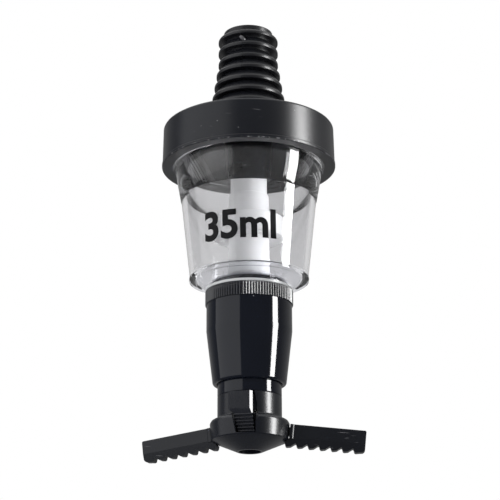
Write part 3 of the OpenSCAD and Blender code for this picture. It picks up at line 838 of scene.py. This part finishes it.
@dataclass
class Chamber:
    """Clear measuring cup with its screw threads, floor seal and printed volume mark."""

    wall: float = 1.8 * MM
    rim_h: float = 10.6 * MM
    flare_h: float = 11.4 * MM
    waist_r: float = 22.75 * MM
    waist_step: float = 0.22 * MM
    base_r: float = 19.72 * MM
    bead: float = 0.22 * MM
    bead_h: float = 1.0 * MM
    foot_w: float = 1.9 * MM
    foot_recess: float = 0.6 * MM
    floor_t: float = 2.2 * MM
    floor_rise: float = 1.72 * MM
    fillet: float = 0.8 * MM
    hole_r: float = 8.6 * MM
    tube_r: float = 6.79 * MM
    neck_r: float = 14.3 * MM
    neck_bore_r: float = 12.75 * MM
    neck_h: float = 2.42 * MM
    neck_land: float = 0.5 * MM
    edge: float = 0.2 * MM
    rim_pitch: float = 1.5 * MM
    rim_depth: float = 0.6 * MM
    rim_run: float = 0.4 * MM
    neck_pitch: float = 1.2 * MM
    neck_depth: float = 0.45 * MM
    neck_run: float = 0.1 * MM
    near: float = 0.01 * MM
    mark_text: str = "35ml"
    mark_z: float = -69.3 * MM
    mark_h: float = 9.2 * MM
    mark_em: float = 1.4
    mark_bold: float = 0.045
    mark_azimuth: float = 3.0
    mark_t: float = 0.05 * MM
    mark_lift: float = 0.0125 * MM
    mark_slice: float = 0.5 * MM

    def __post_init__(self) -> None:
        """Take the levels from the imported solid."""
        low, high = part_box("chamber")
        self.rim_top = high.z
        self.rim_r = high.x
        self.neck_bottom = low.z
        self.rim_bottom = self.rim_top - self.rim_h
        self.waist_z = self.rim_bottom - self.flare_h
        self.floor_bottom = self.neck_bottom + self.neck_h
        self.floor_top = self.floor_bottom + self.floor_t
        self.bottom = self.floor_top - self.floor_rise
        self.foot_z = self.bottom + self.bead_h
        self.seal_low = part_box("guide_bush")[1].z

    def cone_r(self, z: float) -> float:
        """Outside radius of the cone at a height."""
        share = (z - self.foot_z) / (self.waist_z - self.foot_z)
        return self.base_r + (self.waist_r - self.base_r) * share

    def shell(self) -> bpy.types.Object:
        """The cup, with a thread round its rim and one in its neck.

        Returns:
            The piece.
        """
        rim_thread = Thread(self.rim_r, self.rim_bottom + self.rim_run, self.rim_top - self.rim_run,
                            self.rim_pitch, -self.rim_depth)
        neck_thread = Thread(self.neck_bore_r, self.neck_bottom + self.neck_run,
                             self.floor_bottom - self.neck_run, self.neck_pitch, self.neck_depth)
        bead_r = self.base_r + self.bead
        outline = rounded([
            (self.hole_r, self.floor_bottom), (self.neck_bore_r, self.floor_bottom),
            (self.neck_bore_r, self.neck_bottom), (self.neck_r, self.neck_bottom, self.edge),
            (self.neck_r, self.neck_bottom + self.neck_land, self.edge),
            (bead_r - self.foot_w, self.bottom + self.foot_recess, self.edge),
            (bead_r - self.foot_w, self.bottom, self.edge),
            (bead_r, self.bottom, self.edge), (bead_r, self.foot_z - self.bead), (self.base_r, self.foot_z),
            (self.waist_r, self.waist_z), (self.waist_r + self.waist_step, self.waist_z + self.waist_step),
            (self.rim_r, self.rim_bottom), (self.rim_r, self.rim_top),
            (self.rim_r - self.wall, self.rim_top),
            (self.base_r - self.wall, self.floor_top, self.fillet), (self.hole_r, self.floor_top)])
        return turned("chamber_shell", outline, (rim_thread, neck_thread))

    def thin_base(self, shell: bpy.types.Object, material: bpy.types.Material) -> None:
        """Give the floor, neck and foot, which are seen through edge on, a plain see-through finish.

        Args:
            shell: the cup.
            material: the finish of its base.
        """
        shell.data.materials.append(material)
        reach = self.base_r - self.wall + self.near
        for face in shell.data.polygons:
            corners = [shell.data.vertices[i].co for i in face.vertices]
            limits = [self.floor_top if c.to_2d().length < reach else self.foot_z for c in corners]
            if all(c.z < limit + self.near for c, limit in zip(corners, limits)):
                face.material_index = 1

    def mark(self) -> bpy.types.Object:
        """Volume mark, printed round the front of the cone.

        Returns:
            The piece.
        """
        text = bpy.data.curves.new("mark_text", "FONT")
        text.body = self.mark_text
        text.align_x = "CENTER"
        text.align_y = "CENTER"
        text.size = self.mark_h * self.mark_em
        text.offset = self.mark_h * self.mark_bold
        source = linked("mark_source", text)
        flat = evaluated(source)
        bpy.data.objects.remove(source)
        with edited(flat) as work:
            count = int(max(abs(v.co.x) for v in work.verts) / self.mark_slice)
            for k in range(-count, count + 1):
                slice_faces(work, RIGHT * (k * self.mark_slice), RIGHT)
            for vert in work.verts:
                z = self.mark_z + vert.co.y
                radius = self.cone_r(z) + self.mark_lift
                vert.co = compass(self.mark_azimuth + math.degrees(vert.co.x / radius), radius, z)
        piece = linked("volume_mark", flat)
        ink = piece.modifiers.new("ink", "SOLIDIFY")
        ink.thickness = self.mark_t
        ink.offset = 1.0
        return piece

    def build(self, wardrobe: Wardrobe) -> None:
        """Put the threaded cup and its floor seal in the plain ones' place, and print the mark.

        Args:
            wardrobe: the finishes.
        """
        shell = wardrobe.add_piece(self.shell(), Slot.CLEAR, Body.MEASURE)
        self.thin_base(shell, wardrobe.made[Extra.CLEAR_BASE])
        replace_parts(shell, "chamber")
        outline = [(self.tube_r, self.seal_low), (self.hole_r, self.seal_low), (self.hole_r, self.floor_top),
                   (self.tube_r, self.floor_top)]
        seal = wardrobe.add_piece(turned("floor_seal", outline), Slot.SEAL, Body.MEASURE, Extra.PALE_SILICONE)
        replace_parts(seal, "outlet_seal")
        wardrobe.add_piece(self.mark(), Slot.SATIN, Body.MEASURE, Extra.MARK_INK)


@dataclass
class Spigot:
    """Screw thread on the barrel's spigot, seen through the clear neck."""

    r: float = 12.6 * MM
    root: float = 0.3 * MM
    depth: float = 0.4 * MM
    pitch: float = 1.2 * MM
    length: float = 1.9 * MM
    drop: float = 0.4 * MM

    def build(self, wardrobe: Wardrobe) -> None:
        """Add the thread.

        Args:
            wardrobe: the finishes.
        """
        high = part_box("guide_bush")[1].z - self.drop
        low = high - self.length
        thread = Thread(self.r, low, high, self.pitch, self.depth)
        outline = [(self.r - self.root, low), (self.r, low), (self.r, high), (self.r - self.root, high)]
        wardrobe.add_piece(turned("spigot_thread", outline, (thread,)), Slot.GLOSS, Body.MEASURE)


@dataclass
class Knurl:
    """Lock ring with fine rounded teeth."""

    bore_r: float = 12.65 * MM
    teeth: int = 96
    depth: float = 0.34 * MM
    per_tooth: int = 10
    edge: float = 0.12 * MM

    def build(self, wardrobe: Wardrobe) -> None:
        """Put the rounded teeth in the plain ones' place.

        Args:
            wardrobe: the finishes.
        """
        low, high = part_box("knurled_ring")
        outer, inner = high.x, high.x - self.edge
        section = ((self.bore_r, low.z, 0.0), (inner, low.z, 1.0), (outer, low.z + self.edge, 1.0),
                   (outer, high.z - self.edge, 1.0), (inner, high.z, 1.0), (self.bore_r, high.z, 0.0))
        steps = self.teeth * self.per_tooth
        vertices = []
        for k in range(steps):
            angle = math.tau * k / steps
            groove = self.depth * (1 - abs(math.cos(self.teeth * angle / 2)))
            for radius, z, share in section:
                r = radius - share * groove
                vertices.append((r * math.cos(angle), r * math.sin(angle), z))
        teeth = mesh_object("knurled_teeth", vertices, round_trip(steps, len(section)))
        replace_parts(wardrobe.add_piece(teeth, Slot.GLOSS, Body.MEASURE, Extra.KNURL_GLOSS), "knurled_ring")


@dataclass
class Barrel:
    """Polished housing with its long straight part and slim taper."""

    r: float = 14.17 * MM
    end_r: float = 12.03 * MM
    straight_h: float = 8.9 * MM
    end_round: float = 0.9 * MM
    taper_round: float = 3.0 * MM
    spigot_r: float = 12.6 * MM
    spigot_drop: float = 0.2 * MM
    bore_r: float = 11.05 * MM
    room_r: float = 11.6 * MM
    guide_r: float = 10.56 * MM
    guide_h: float = 5.0 * MM
    web_t: float = 1.5 * MM
    web_r: float = 9.4 * MM
    flare: float = 0.4 * MM
    edge: float = 0.3 * MM

    def build(self, wardrobe: Wardrobe) -> None:
        """Put the housing in the plain one's place.

        Args:
            wardrobe: the finishes.
        """
        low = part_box("barrel")[0].z
        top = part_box("knurled_ring")[0].z
        bush, bush_top = (corner.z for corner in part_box("guide_bush"))
        spigot, web, guide = bush_top - self.spigot_drop, bush - self.web_t, low + self.guide_h
        outline = rounded([
            (self.guide_r + self.flare, low), (self.end_r, low, self.end_round),
            (self.r, top - self.straight_h, self.taper_round), (self.r, top), (self.spigot_r, top),
            (self.spigot_r, spigot, self.edge), (self.bore_r, spigot), (self.bore_r, bush),
            (self.web_r, bush), (self.web_r, web), (self.room_r, web), (self.room_r, guide),
            (self.guide_r, guide), (self.guide_r, low + self.flare)])
        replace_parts(wardrobe.add_piece(turned("barrel_shell", outline), Slot.GLOSS, Body.MEASURE), "barrel")


@dataclass
class Spring:
    """Return spring, built as one coil at its solid's length, though the real one shortens as the plunger
    lifts.
    """

    r: float = 8.9 * MM
    wire_d: float = 1.0 * MM
    turns: int = 6
    per_turn: int = 32
    sides: int = 10

    def build(self, wardrobe: Wardrobe) -> None:
        """Put the coil in the plain one's place.

        Args:
            wardrobe: the finishes.
        """
        low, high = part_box("return_spring")
        half, count = self.wire_d / 2, self.turns * self.per_turn
        wire = circle(half, self.sides)
        loops = []
        for k in range(count + 1):
            azimuth = 360.0 * k / self.per_turn
            middle = low.z + half + (high.z - low.z - self.wire_d) * k / count
            loops.append([compass(azimuth, self.r + out, middle + up) for out, up in wire])
        coil = wardrobe.add_piece(swept("spring_coil", loops), Slot.STEEL, Body.MEASURE)
        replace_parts(coil, "return_spring")
        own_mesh(coil)


@dataclass
class Spout:
    """Hub with sleeve, flange and cone, and the ribbed tab in its slot."""

    cone_h: float = 3.55 * MM
    flange_h: float = 5.35 * MM
    shoulder_h: float = 1.8 * MM
    outlet_r: float = 3.58 * MM
    tip_r: float = 4.25 * MM
    flange_r: float = 12.97 * MM
    draft: float = 0.5 * MM
    shoulder_in: float = 0.5 * MM
    sleeve_r: float = 10.5 * MM
    socket_r: float = 9.25 * MM
    socket_drop: float = 0.3 * MM
    tail_r: float = 5.25 * MM
    tail_h: float = 2.6 * MM
    gap: float = 0.25 * MM
    tab_face_w: float = 3.2 * MM
    tab_w: float = 4.0 * MM
    tab_proud: float = 0.9 * MM
    taper: float = 1.4 * MM
    thumb_left: tuple[float, float] = (-2.2 * MM, -0.95 * MM)
    thumb_right: tuple[float, float] = (4.1 * MM, 4.3 * MM)
    thumb_len: float = 5.1 * MM
    thumb_t: float = 1.2 * MM
    thumb_tilt: float = 20.0
    thumb_ribs: int = 6
    rib_r: float = 0.36 * MM
    rib_sides: int = 12
    pivot_out: float = 9.85 * MM
    pivot_drop: float = 1.2 * MM
    pocket_left: tuple[float, float] = (-2.5 * MM, -1.15 * MM)
    pocket_right: float = 5.2 * MM
    pocket_room: float = 0.7 * MM
    pocket_up: float = 3.0 * MM
    pocket_past: float = 0.7 * MM
    rim_h: float = 0.35 * MM
    slot_left_w: float = 1.2 * MM
    slot_right_w: float = 7.0 * MM
    cut_past: float = 1.0 * MM
    shift: float = -0.8 * MM
    round_off: float = 0.9 * MM
    soft: float = 0.5 * MM
    edge: float = 0.3 * MM

    def __post_init__(self) -> None:
        """Work out the levels, and the thumb rest in the plane through the axis and the front."""
        low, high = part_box("hub")
        self.outlet_z = low.z
        self.rim_z = self.outlet_z + self.cone_h
        self.flange_z = self.rim_z + self.flange_h
        self.shoulder_z = self.flange_z + self.shoulder_h
        self.top = high.z
        tilt = math.radians(self.thumb_tilt)
        self.pivot = Vector((self.pivot_out, self.shoulder_z - self.pivot_drop))
        self.down = Vector((-math.sin(tilt), -math.cos(tilt)))
        self.face = Vector((math.cos(tilt), -math.sin(tilt)))
        self.thumb_front = self.pivot + self.face * self.thumb_t / 2
        self.tab_front = self.sleeve_r + self.tab_proud
        self.tab_low = self.thumb_front.y + (self.tab_front - self.thumb_front.x) / math.tan(tilt)
        self.taper_low = self.tab_low - self.taper
        self.aside = Matrix.Translation((self.shift, 0, 0))

    def pocket(self) -> bpy.types.Object:
        """Room behind the thumb rest.

        Returns:
            The solid to cut away.
        """
        back = self.face * (-self.thumb_t / 2 - self.pocket_room)
        reach = self.down * (self.thumb_len + self.pocket_past)
        high = self.pivot - self.down * self.pocket_up + back
        front = self.thumb_front + reach
        rim = Vector((self.flange_r - self.draft, self.rim_z + self.rim_h))
        past = self.flange_r + self.cut_past
        out = rim + (rim - front) * ((past - rim.x) / (rim.x - front.x))
        corners = [tuple(c) for c in (high, self.pivot + reach + back, front, out, (past, high.y))]
        slope = (self.pocket_left[1] - self.pocket_left[0]) / (front.y - high.y)
        left = [Vector((self.pocket_left[0] + slope * (z - high.y), -r, z)) for r, z in corners]
        return swept("pocket", [left, [Vector((self.pocket_right, -r, z)) for r, z in corners]])

    def slot(self) -> bpy.types.Object:
        """Room round the tab, wider to one side at the flange's rim.

        Returns:
            The solid to cut away.
        """
        past, inner = self.flange_r + self.cut_past, self.socket_r - self.cut_past
        ledge, high, rim = self.shoulder_z - self.gap, self.top + self.cut_past, self.rim_z + self.rim_h
        corners = [(inner, ledge), (self.sleeve_r, ledge), (self.flange_r - self.draft, rim), (past, rim),
                   (past, high), (inner, high)]
        sides = []
        for side, low_w in ((-1, self.slot_left_w), (1, self.slot_right_w)):
            slope = (low_w - self.tab_w - self.gap) / (high - rim)
            sides.append([Vector((side * (low_w - slope * (z - rim)), -r, z)) for r, z in corners])
        return swept("slot", sides)

    def hub(self) -> bpy.types.Object:
        """Turned hub with the slot and the pocket cut into its front.

        Returns:
            The piece.
        """
        socket = self.shoulder_z - self.socket_drop
        outline = rounded([
            (self.outlet_r, self.outlet_z), (self.tip_r, self.outlet_z, self.edge),
            (self.flange_r - self.draft, self.rim_z, self.soft),
            (self.flange_r, self.flange_z, self.round_off),
            (self.flange_r - self.shoulder_in, self.flange_z + self.shoulder_h / 2, self.round_off),
            (self.sleeve_r, self.shoulder_z, self.soft), (self.sleeve_r, self.top, self.edge),
            (self.socket_r, self.top), (self.socket_r, socket), (self.tail_r, socket),
            (self.tail_r, socket - self.tail_h), (self.outlet_r, socket - self.tail_h)])
        piece = turned("hub_shell", outline)
        for tool in (self.slot(), self.pocket()):
            tool.data.transform(self.aside)
            combine(piece, Merge.CUT, tool)
        return piece

    def tab(self) -> bpy.types.Object:
        """Tab with a smooth upper face that narrows to a sloping, ribbed thumb rest.

        Returns:
            The piece.
        """
        tilt = math.radians(self.thumb_tilt)
        low, top, back_r = self.outlet_z, self.top - self.gap, self.socket_r + self.gap
        back = self.pivot - self.face * self.thumb_t / 2
        end = self.down * self.thumb_len
        front_end = self.thumb_front + end
        foot = front_end.y
        side = [(back_r, top), (self.tab_front, top), (self.tab_front, self.tab_low), tuple(front_end),
                tuple(back + end), (back_r, back.y + (back_r - back.x) / math.tan(tilt))]
        (left_top, left_foot), (right_top, right_foot) = self.thumb_left, self.thumb_right
        face = [(self.tab_w, self.top), (right_top, self.taper_low), (right_foot, foot), (right_foot, low),
                (left_foot, low), (left_foot, foot), (left_top, self.taper_low, self.soft),
                (-self.tab_w, self.tab_low, self.soft), (-self.tab_w, self.top)]
        plan = [(-self.tab_w, 0.0), (-self.tab_w, self.sleeve_r), (-self.tab_face_w, self.tab_front),
                (self.tab_face_w, self.tab_front), (self.tab_w, self.sleeve_r), (self.tab_w, 0.0)]
        piece = prism("tab_grip", side, (OUT, UP, RIGHT), (-self.tab_w, self.tab_w))
        combine(piece, Merge.WITHIN, prism("tab_face", rounded(face), (RIGHT, UP, OUT), (0.0, self.flange_r)))
        combine(piece, Merge.WITHIN, prism("tab_plan", plan, (RIGHT, OUT, UP), (low, self.top)))
        start = (self.thumb_front.y - self.taper_low) / math.cos(tilt)
        step = (self.thumb_len - start) / self.thumb_ribs
        for k in range(self.thumb_ribs):
            at = self.thumb_front + self.down * ((k + 0.5) * step + start)
            ring = [(at.x + out, at.y + up) for out, up in circle(self.rib_r, self.rib_sides)]
            share = (k + 0.5) / self.thumb_ribs
            ends = [first + (last - first) * share for first, last in (self.thumb_left, self.thumb_right)]
            combine(piece, Merge.JOIN, prism("rib", ring, (OUT, UP, RIGHT), tuple(ends)))
        piece.data.transform(self.aside)
        return piece

    def build(self, wardrobe: Wardrobe) -> None:
        """Put the hub and tab in the plain ones' place.

        Args:
            wardrobe: the finishes.
        """
        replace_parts(wardrobe.add_piece(self.hub(), Slot.SATIN, Body.PLUNGER, Extra.SPOUT_SATIN), "hub")
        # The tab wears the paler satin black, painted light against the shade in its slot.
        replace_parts(wardrobe.add_piece(self.tab(), Slot.SATIN, Body.TAB, Extra.TAB_PAINTED_LIGHT), "release_tab")


@dataclass
class Arms:
    """Pair of lift arms with rounded teeth, set on the hub's flange."""

    spout: Spout
    length: float = 24.6 * MM
    depth: float = 7.4 * MM
    thick: float = 3.2 * MM
    sweep: float = 9.5
    droop: float = 6.0
    drop: float = 0.3 * MM
    teeth: int = 7
    pitch: float = 3.7 * MM
    tooth_h: float = 1.5 * MM
    steep: float = 0.5 * MM
    flat: float = 1.6 * MM
    rise: float = 0.3 * MM
    tooth_round: float = 0.65 * MM
    valley_round: float = 0.3 * MM
    end_round: float = 1.1 * MM
    top_round: float = 0.5 * MM
    end_lift: float = 0.5 * MM
    inset: float = 3.3 * MM
    face_h: float = 4.3 * MM
    turn_under: float = 0.22
    pad_len: float = 1.3 * MM
    pad_proud: float = 0.35 * MM
    pad_h: float = 4.6 * MM
    tenon: float = 3.2 * MM
    tenon_in: float = 0.5 * MM
    tenon_share: tuple[float, float] = (-0.8, -0.2)
    sharp: float = 10.0

    def blade(self, name: str) -> bpy.types.Object:
        """Arm along +X whose front turns under at its toothed edge.

        Args:
            name: name of the piece.

        Returns:
            The piece, still at the origin.
        """
        side = [(0.0, 0.0), (self.length, 0.0, self.top_round),
                (self.length, self.end_lift - self.depth, self.end_round)]
        for k in range(self.teeth):
            x = self.length - self.inset - k * self.pitch
            side += [(x + self.flat, self.rise - self.depth, self.tooth_round),
                     (x, -self.depth, self.tooth_round),
                     (x - self.steep, self.tooth_h - self.depth, self.valley_round)]
        half = self.thick / 2
        piece = prism(name, rounded([*side, (0.0, -self.pad_h)]), (RIGHT, UP, BACK), (-half, half))
        with edited(piece.data) as work:
            slice_faces(work, UP * -self.face_h, UP)
            for vert in work.verts:
                if vert.co.y < 0:
                    vert.co.y += self.turn_under * max(0.0, -self.face_h - vert.co.z)
        wide, bevel = half + self.pad_proud, self.pad_len - self.pad_proud
        pad = [(0.0, -wide), (bevel, -wide), (self.pad_len, -half), (self.pad_len, half), (bevel, wide),
               (0.0, wide)]
        combine(piece, Merge.JOIN, prism("pad", pad, (RIGHT, BACK, UP), (-self.pad_h, 0.0)))
        root = [(-self.tenon, -half / 2), (self.tenon_in, -half / 2), (self.tenon_in, half / 2),
                (-self.tenon, half / 2)]
        low, high = (share * self.pad_h for share in self.tenon_share)
        combine(piece, Merge.JOIN, prism("tenon", root, (RIGHT, BACK, UP), (low, high)))
        piece.data.set_sharp_from_angle(angle=math.radians(self.sharp))
        return piece

    def build(self, wardrobe: Wardrobe) -> None:
        """Put both arms in the plain ones' place.

        Args:
            wardrobe: the finishes.
        """
        place = (Matrix.Translation((0, 0, self.spout.flange_z - self.drop))
                 @ Matrix.Rotation(math.radians(self.sweep), 4, "Z")
                 @ Matrix.Translation((self.spout.flange_r + self.spout.gap, 0, 0))
                 @ Matrix.Rotation(math.radians(self.droop), 4, "Y"))
        for node, name, mirror in (("right_arm", "right_blade", 1), ("left_arm", "left_blade", -1)):
            piece = self.blade(name)
            piece.data.transform(Matrix.Diagonal((mirror, 1, 1, 1)) @ place)
            if mirror < 0:
                piece.data.flip_normals()
            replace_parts(wardrobe.add_piece(piece, Slot.SATIN, Body.PLUNGER), node)


@dataclass
class Camera:
    """The photograph's viewpoint, from below."""

    azimuth: float = 12.0
    elevation: float = -18.0
    distance: float = 567.0 * MM
    aim_z: float = -71.25 * MM
    aim_side: float = 0.33 * MM
    lens: float = 122.0
    sensor: float = 36.0
    roll: float = -0.25
    clip_start: float = 0.01

    def build(self) -> None:
        """Make the camera and use it."""
        rise = math.radians(self.elevation)
        back = compass(self.azimuth, math.cos(rise), math.sin(rise))
        aim = compass(self.azimuth + 90, self.aim_side, self.aim_z)
        data = bpy.data.cameras.new("camera")
        data.lens = self.lens
        data.sensor_width = self.sensor
        data.clip_start = self.clip_start
        camera = linked("camera", data)
        camera.rotation_mode = "QUATERNION"
        camera.location = aim + back * self.distance
        level = (-back).to_track_quat("-Z", "Y")
        camera.rotation_quaternion = level @ Quaternion((0, 0, 1), math.radians(self.roll))
        bpy.context.scene.camera = camera


@dataclass(frozen=True)
class Lamp:
    """Flat rectangular lamp that faces the axis."""

    name: str
    azimuth: float
    distance: float
    low: float
    high: float
    width: float
    radiance: float
    lights: bool = True
    shines: bool = True

    def build(self) -> None:
        """Make the lamp upright, at its distance from the axis, to light surfaces or to shine in them."""
        data = bpy.data.lights.new(self.name, "AREA")
        data.shape = "RECTANGLE"
        data.size = self.width
        data.size_y = self.high - self.low
        data.energy = self.radiance * math.pi * data.size * data.size_y
        lamp = linked(self.name, data)
        lamp.location = compass(self.azimuth, self.distance, (self.low + self.high) / 2)
        inward = -compass(self.azimuth, 1.0, 0.0)
        lamp.rotation_mode = "QUATERNION"
        lamp.rotation_quaternion = inward.to_track_quat("-Z", "Y")
        lamp.visible_diffuse = self.lights
        lamp.visible_glossy = self.shines


@dataclass
class Studio:
    """White surroundings, three lamps, dark flags for reflections and a pale floor."""

    lamps: tuple[Lamp, ...] = (
        Lamp("strip", azimuth=85.0, distance=0.6, low=-0.3, high=0.29, width=0.17, radiance=24.0,
             lights=False),
        Lamp("panel", azimuth=-51.0, distance=0.8, low=-0.3, high=0.8, width=1.25, radiance=0.76),
        Lamp("key", azimuth=-45.0, distance=0.9, low=-0.4, high=0.8, width=0.8, radiance=0.8, shines=False),
    )
    ambient: float = 1.0
    flag_glow: tuple[float, float] = (0.1, 0.3)
    flag_r: float = 1.15
    flag_turn: float = 0.92
    flag_low: float = -0.66
    flag_high: float = 0.9
    flag_sides: int = 64
    floor_z: float = -0.7
    floor_r: float = 9.0
    floor_sides: int = 96
    floor_fade: tuple[float, float] = (0.8, 3.5)
    floor_colour: Colour = (0.9, 0.9, 0.9)
    floor_roughness: float = 0.9
    floor_glow: float = 0.6
    bounces: int = 24

    def world(self) -> None:
        """White surroundings, as strong to the eye and in reflections as on surfaces."""
        world = bpy.data.worlds.new("studio")
        world.use_nodes = True
        shade = world.node_tree.nodes["Background"].inputs
        shade["Color"].default_value = WHITE_LIGHT
        shade["Strength"].default_value = self.ambient
        bpy.context.scene.world = world

    def flags(self) -> None:
        """Dark screens round the object and under it, paler at the back, which only reflections see."""
        count = 2 * self.flag_sides
        vertices = [compass(360.0 * k / self.flag_sides, self.flag_r, z)
                    for k in range(self.flag_sides) for z in (self.flag_low, self.flag_high)]
        foot = range(0, count, 2)
        faces = [(k, (k + 2) % count, (k + 3) % count, k + 1) for k in foot]
        piece = mesh_object("flags", vertices, [*faces, foot])
        made, graph, _ = blank_material("flag_dark")
        place = graph.add("ShaderNodeTexCoord").outputs["Object"]
        back = graph.add("ShaderNodeSeparateXYZ", {"Vector": place}).outputs["Y"]
        share = graph.between(back, 0.0, self.flag_turn)
        front, rear = self.flag_glow
        strength = graph.math("MULTIPLY_ADD", share, rear - front, front)
        graph.show(graph.add("ShaderNodeEmission", {"Color": WHITE_LIGHT, "Strength": strength}))
        piece.data.materials.append(made)
        for ray in ("camera", "diffuse", "transmission", "volume_scatter", "shadow"):
            setattr(piece, "visible_" + ray, False)

    def floor(self) -> None:
        """Pale floor far below, which fades to white and keeps the shadow."""
        sides = range(self.floor_sides)
        rim = [compass(360.0 * k / self.floor_sides, self.floor_r, self.floor_z) for k in sides]
        piece = mesh_object("floor", rim, [sides])
        made, graph, shader = blank_material("pale_floor")
        shader.inputs["Base Color"].default_value = (*self.floor_colour, 1.0)
        shader.inputs["Roughness"].default_value = self.floor_roughness
        glow = graph.add("ShaderNodeEmission", {"Color": WHITE_LIGHT, "Strength": 1.0})
        place = graph.add("ShaderNodeTexCoord").outputs["Object"]
        parts = graph.add("ShaderNodeSeparateXYZ", {"Vector": place}).outputs
        out = graph.math("SQRT", graph.math("ADD", graph.math("MULTIPLY", parts["X"], parts["X"]),
                                            graph.math("MULTIPLY", parts["Y"], parts["Y"])))
        fade = graph.between(out, *self.floor_fade)
        share = graph.math("MULTIPLY_ADD", fade, 1.0 - self.floor_glow, self.floor_glow)
        path = graph.add("ShaderNodeLightPath").outputs
        seen = graph.math("MAXIMUM", path["Is Camera Ray"], path["Is Transmission Ray"])
        first = graph.math("LESS_THAN", path["Diffuse Depth"], 0.5)
        share = graph.math("MULTIPLY", share, graph.math("MULTIPLY", seen, first))
        graph.show(graph.add("ShaderNodeMixShader", {0: share, 1: shader.outputs[0], 2: glow.outputs[0]}))
        piece.data.materials.append(made)

    def build(self) -> None:
        """Set up everything round the object."""
        self.world()
        for lamp in self.lamps:
            lamp.build()
        self.flags()
        self.floor()
        bpy.context.scene.view_settings.view_transform = "Standard"
        paths = bpy.context.scene.cycles
        paths.max_bounces = paths.transmission_bounces = self.bounces
        paths.glossy_bounces = paths.transparent_max_bounces = self.bounces


def finishes() -> Wardrobe:
    """Finishes of this object.

    Returns:
        One finish for each slot, and the extra ones.
    """
    rim_drop, rub_low, rub_high, rub_share = 14.2 * MM, 0.05 * MM, 0.4 * MM, 0.45
    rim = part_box("collar")[1].z - rim_drop
    polished = 0.002 * MM
    return Wardrobe({
        Slot.RUBBER: Finish((0.006, 0.0066, 0.0092), roughness=0.33, dust_share=0.02),
        # The collar's rubbed lower edge: paler chips, partly wear and partly a painted highlight.
        Slot.SATIN: Finish(JET, roughness=0.31, spread=0.06, hairline_share=0.24,
                           worn_glint_bands=((rim + rub_low, rim + rub_high, rub_share),)),
        Slot.GLOSS: Finish(JET, roughness=0.07, spread=0.05, grain_depth=polished),
        Slot.WHITE: Finish((0.87, 0.875, 0.88), roughness=0.6, dust_share=0.0, shine=0.05),
        Slot.WASHER: Finish((0.45, 0.46, 0.47), roughness=0.3, dust_share=0.0),
        Slot.SEAL: Finish((0.045, 0.045, 0.047), roughness=0.6, dust_share=0.0),
        Slot.STEEL: Finish((0.6, 0.61, 0.62), roughness=0.28, dust_share=0.0, metallic=1.0),
        Slot.CLEAR: Glass((0.7, 0.7, 0.71), ior=1.49),
        Slot.FROSTED: Glass((0.96, 0.965, 0.97), ior=1.4, roughness=0.35, transmission=0.5, smear=0.1),
        Extra.MARK_INK: Finish((0.008, 0.008, 0.009), roughness=0.4, dust_share=0.0, shine=0.12),
        Extra.PALE_SILICONE: Finish((0.74, 0.745, 0.75), roughness=0.4, dust_share=0.0),
        Extra.FLOW_MARK: Finish((0.06, 0.06, 0.066), roughness=0.35, dust_share=0.0),
        Extra.KNURL_GLOSS: Finish(JET, roughness=0.1, spread=0.05, grain_depth=polished, shine=1.0, coat=0.6),
        Extra.SPOUT_SATIN: Finish(JET, roughness=0.24, spread=0.06, hairline_share=0.2),
        # Paler satin black for the tab: painted light in place of the shade of its recess.
        Extra.TAB_PAINTED_LIGHT: Finish((0.0108, 0.0118, 0.0158), roughness=0.14, spread=0.06),
        Extra.CLEAR_BASE: Glass((0.68, 0.685, 0.71), ior=1.04, coat=0.6),
    })


def main() -> None:
    """Build the camera, the finishes, each sub-assembly and the studio."""
    logging.basicConfig(level=logging.INFO, format="%(name)s: %(message)s")
    Camera().build()
    wardrobe = finishes()
    wardrobe.build()
    wardrobe.dress_nodes()
    spout = Spout()
    for assembly in (Bung(), Chamber(), Spigot(), Knurl(), Barrel(), Spring(), spout, Arms(spout)):
        assembly.build(wardrobe)
    Studio().build()


if __name__ == "__main__":
    main()
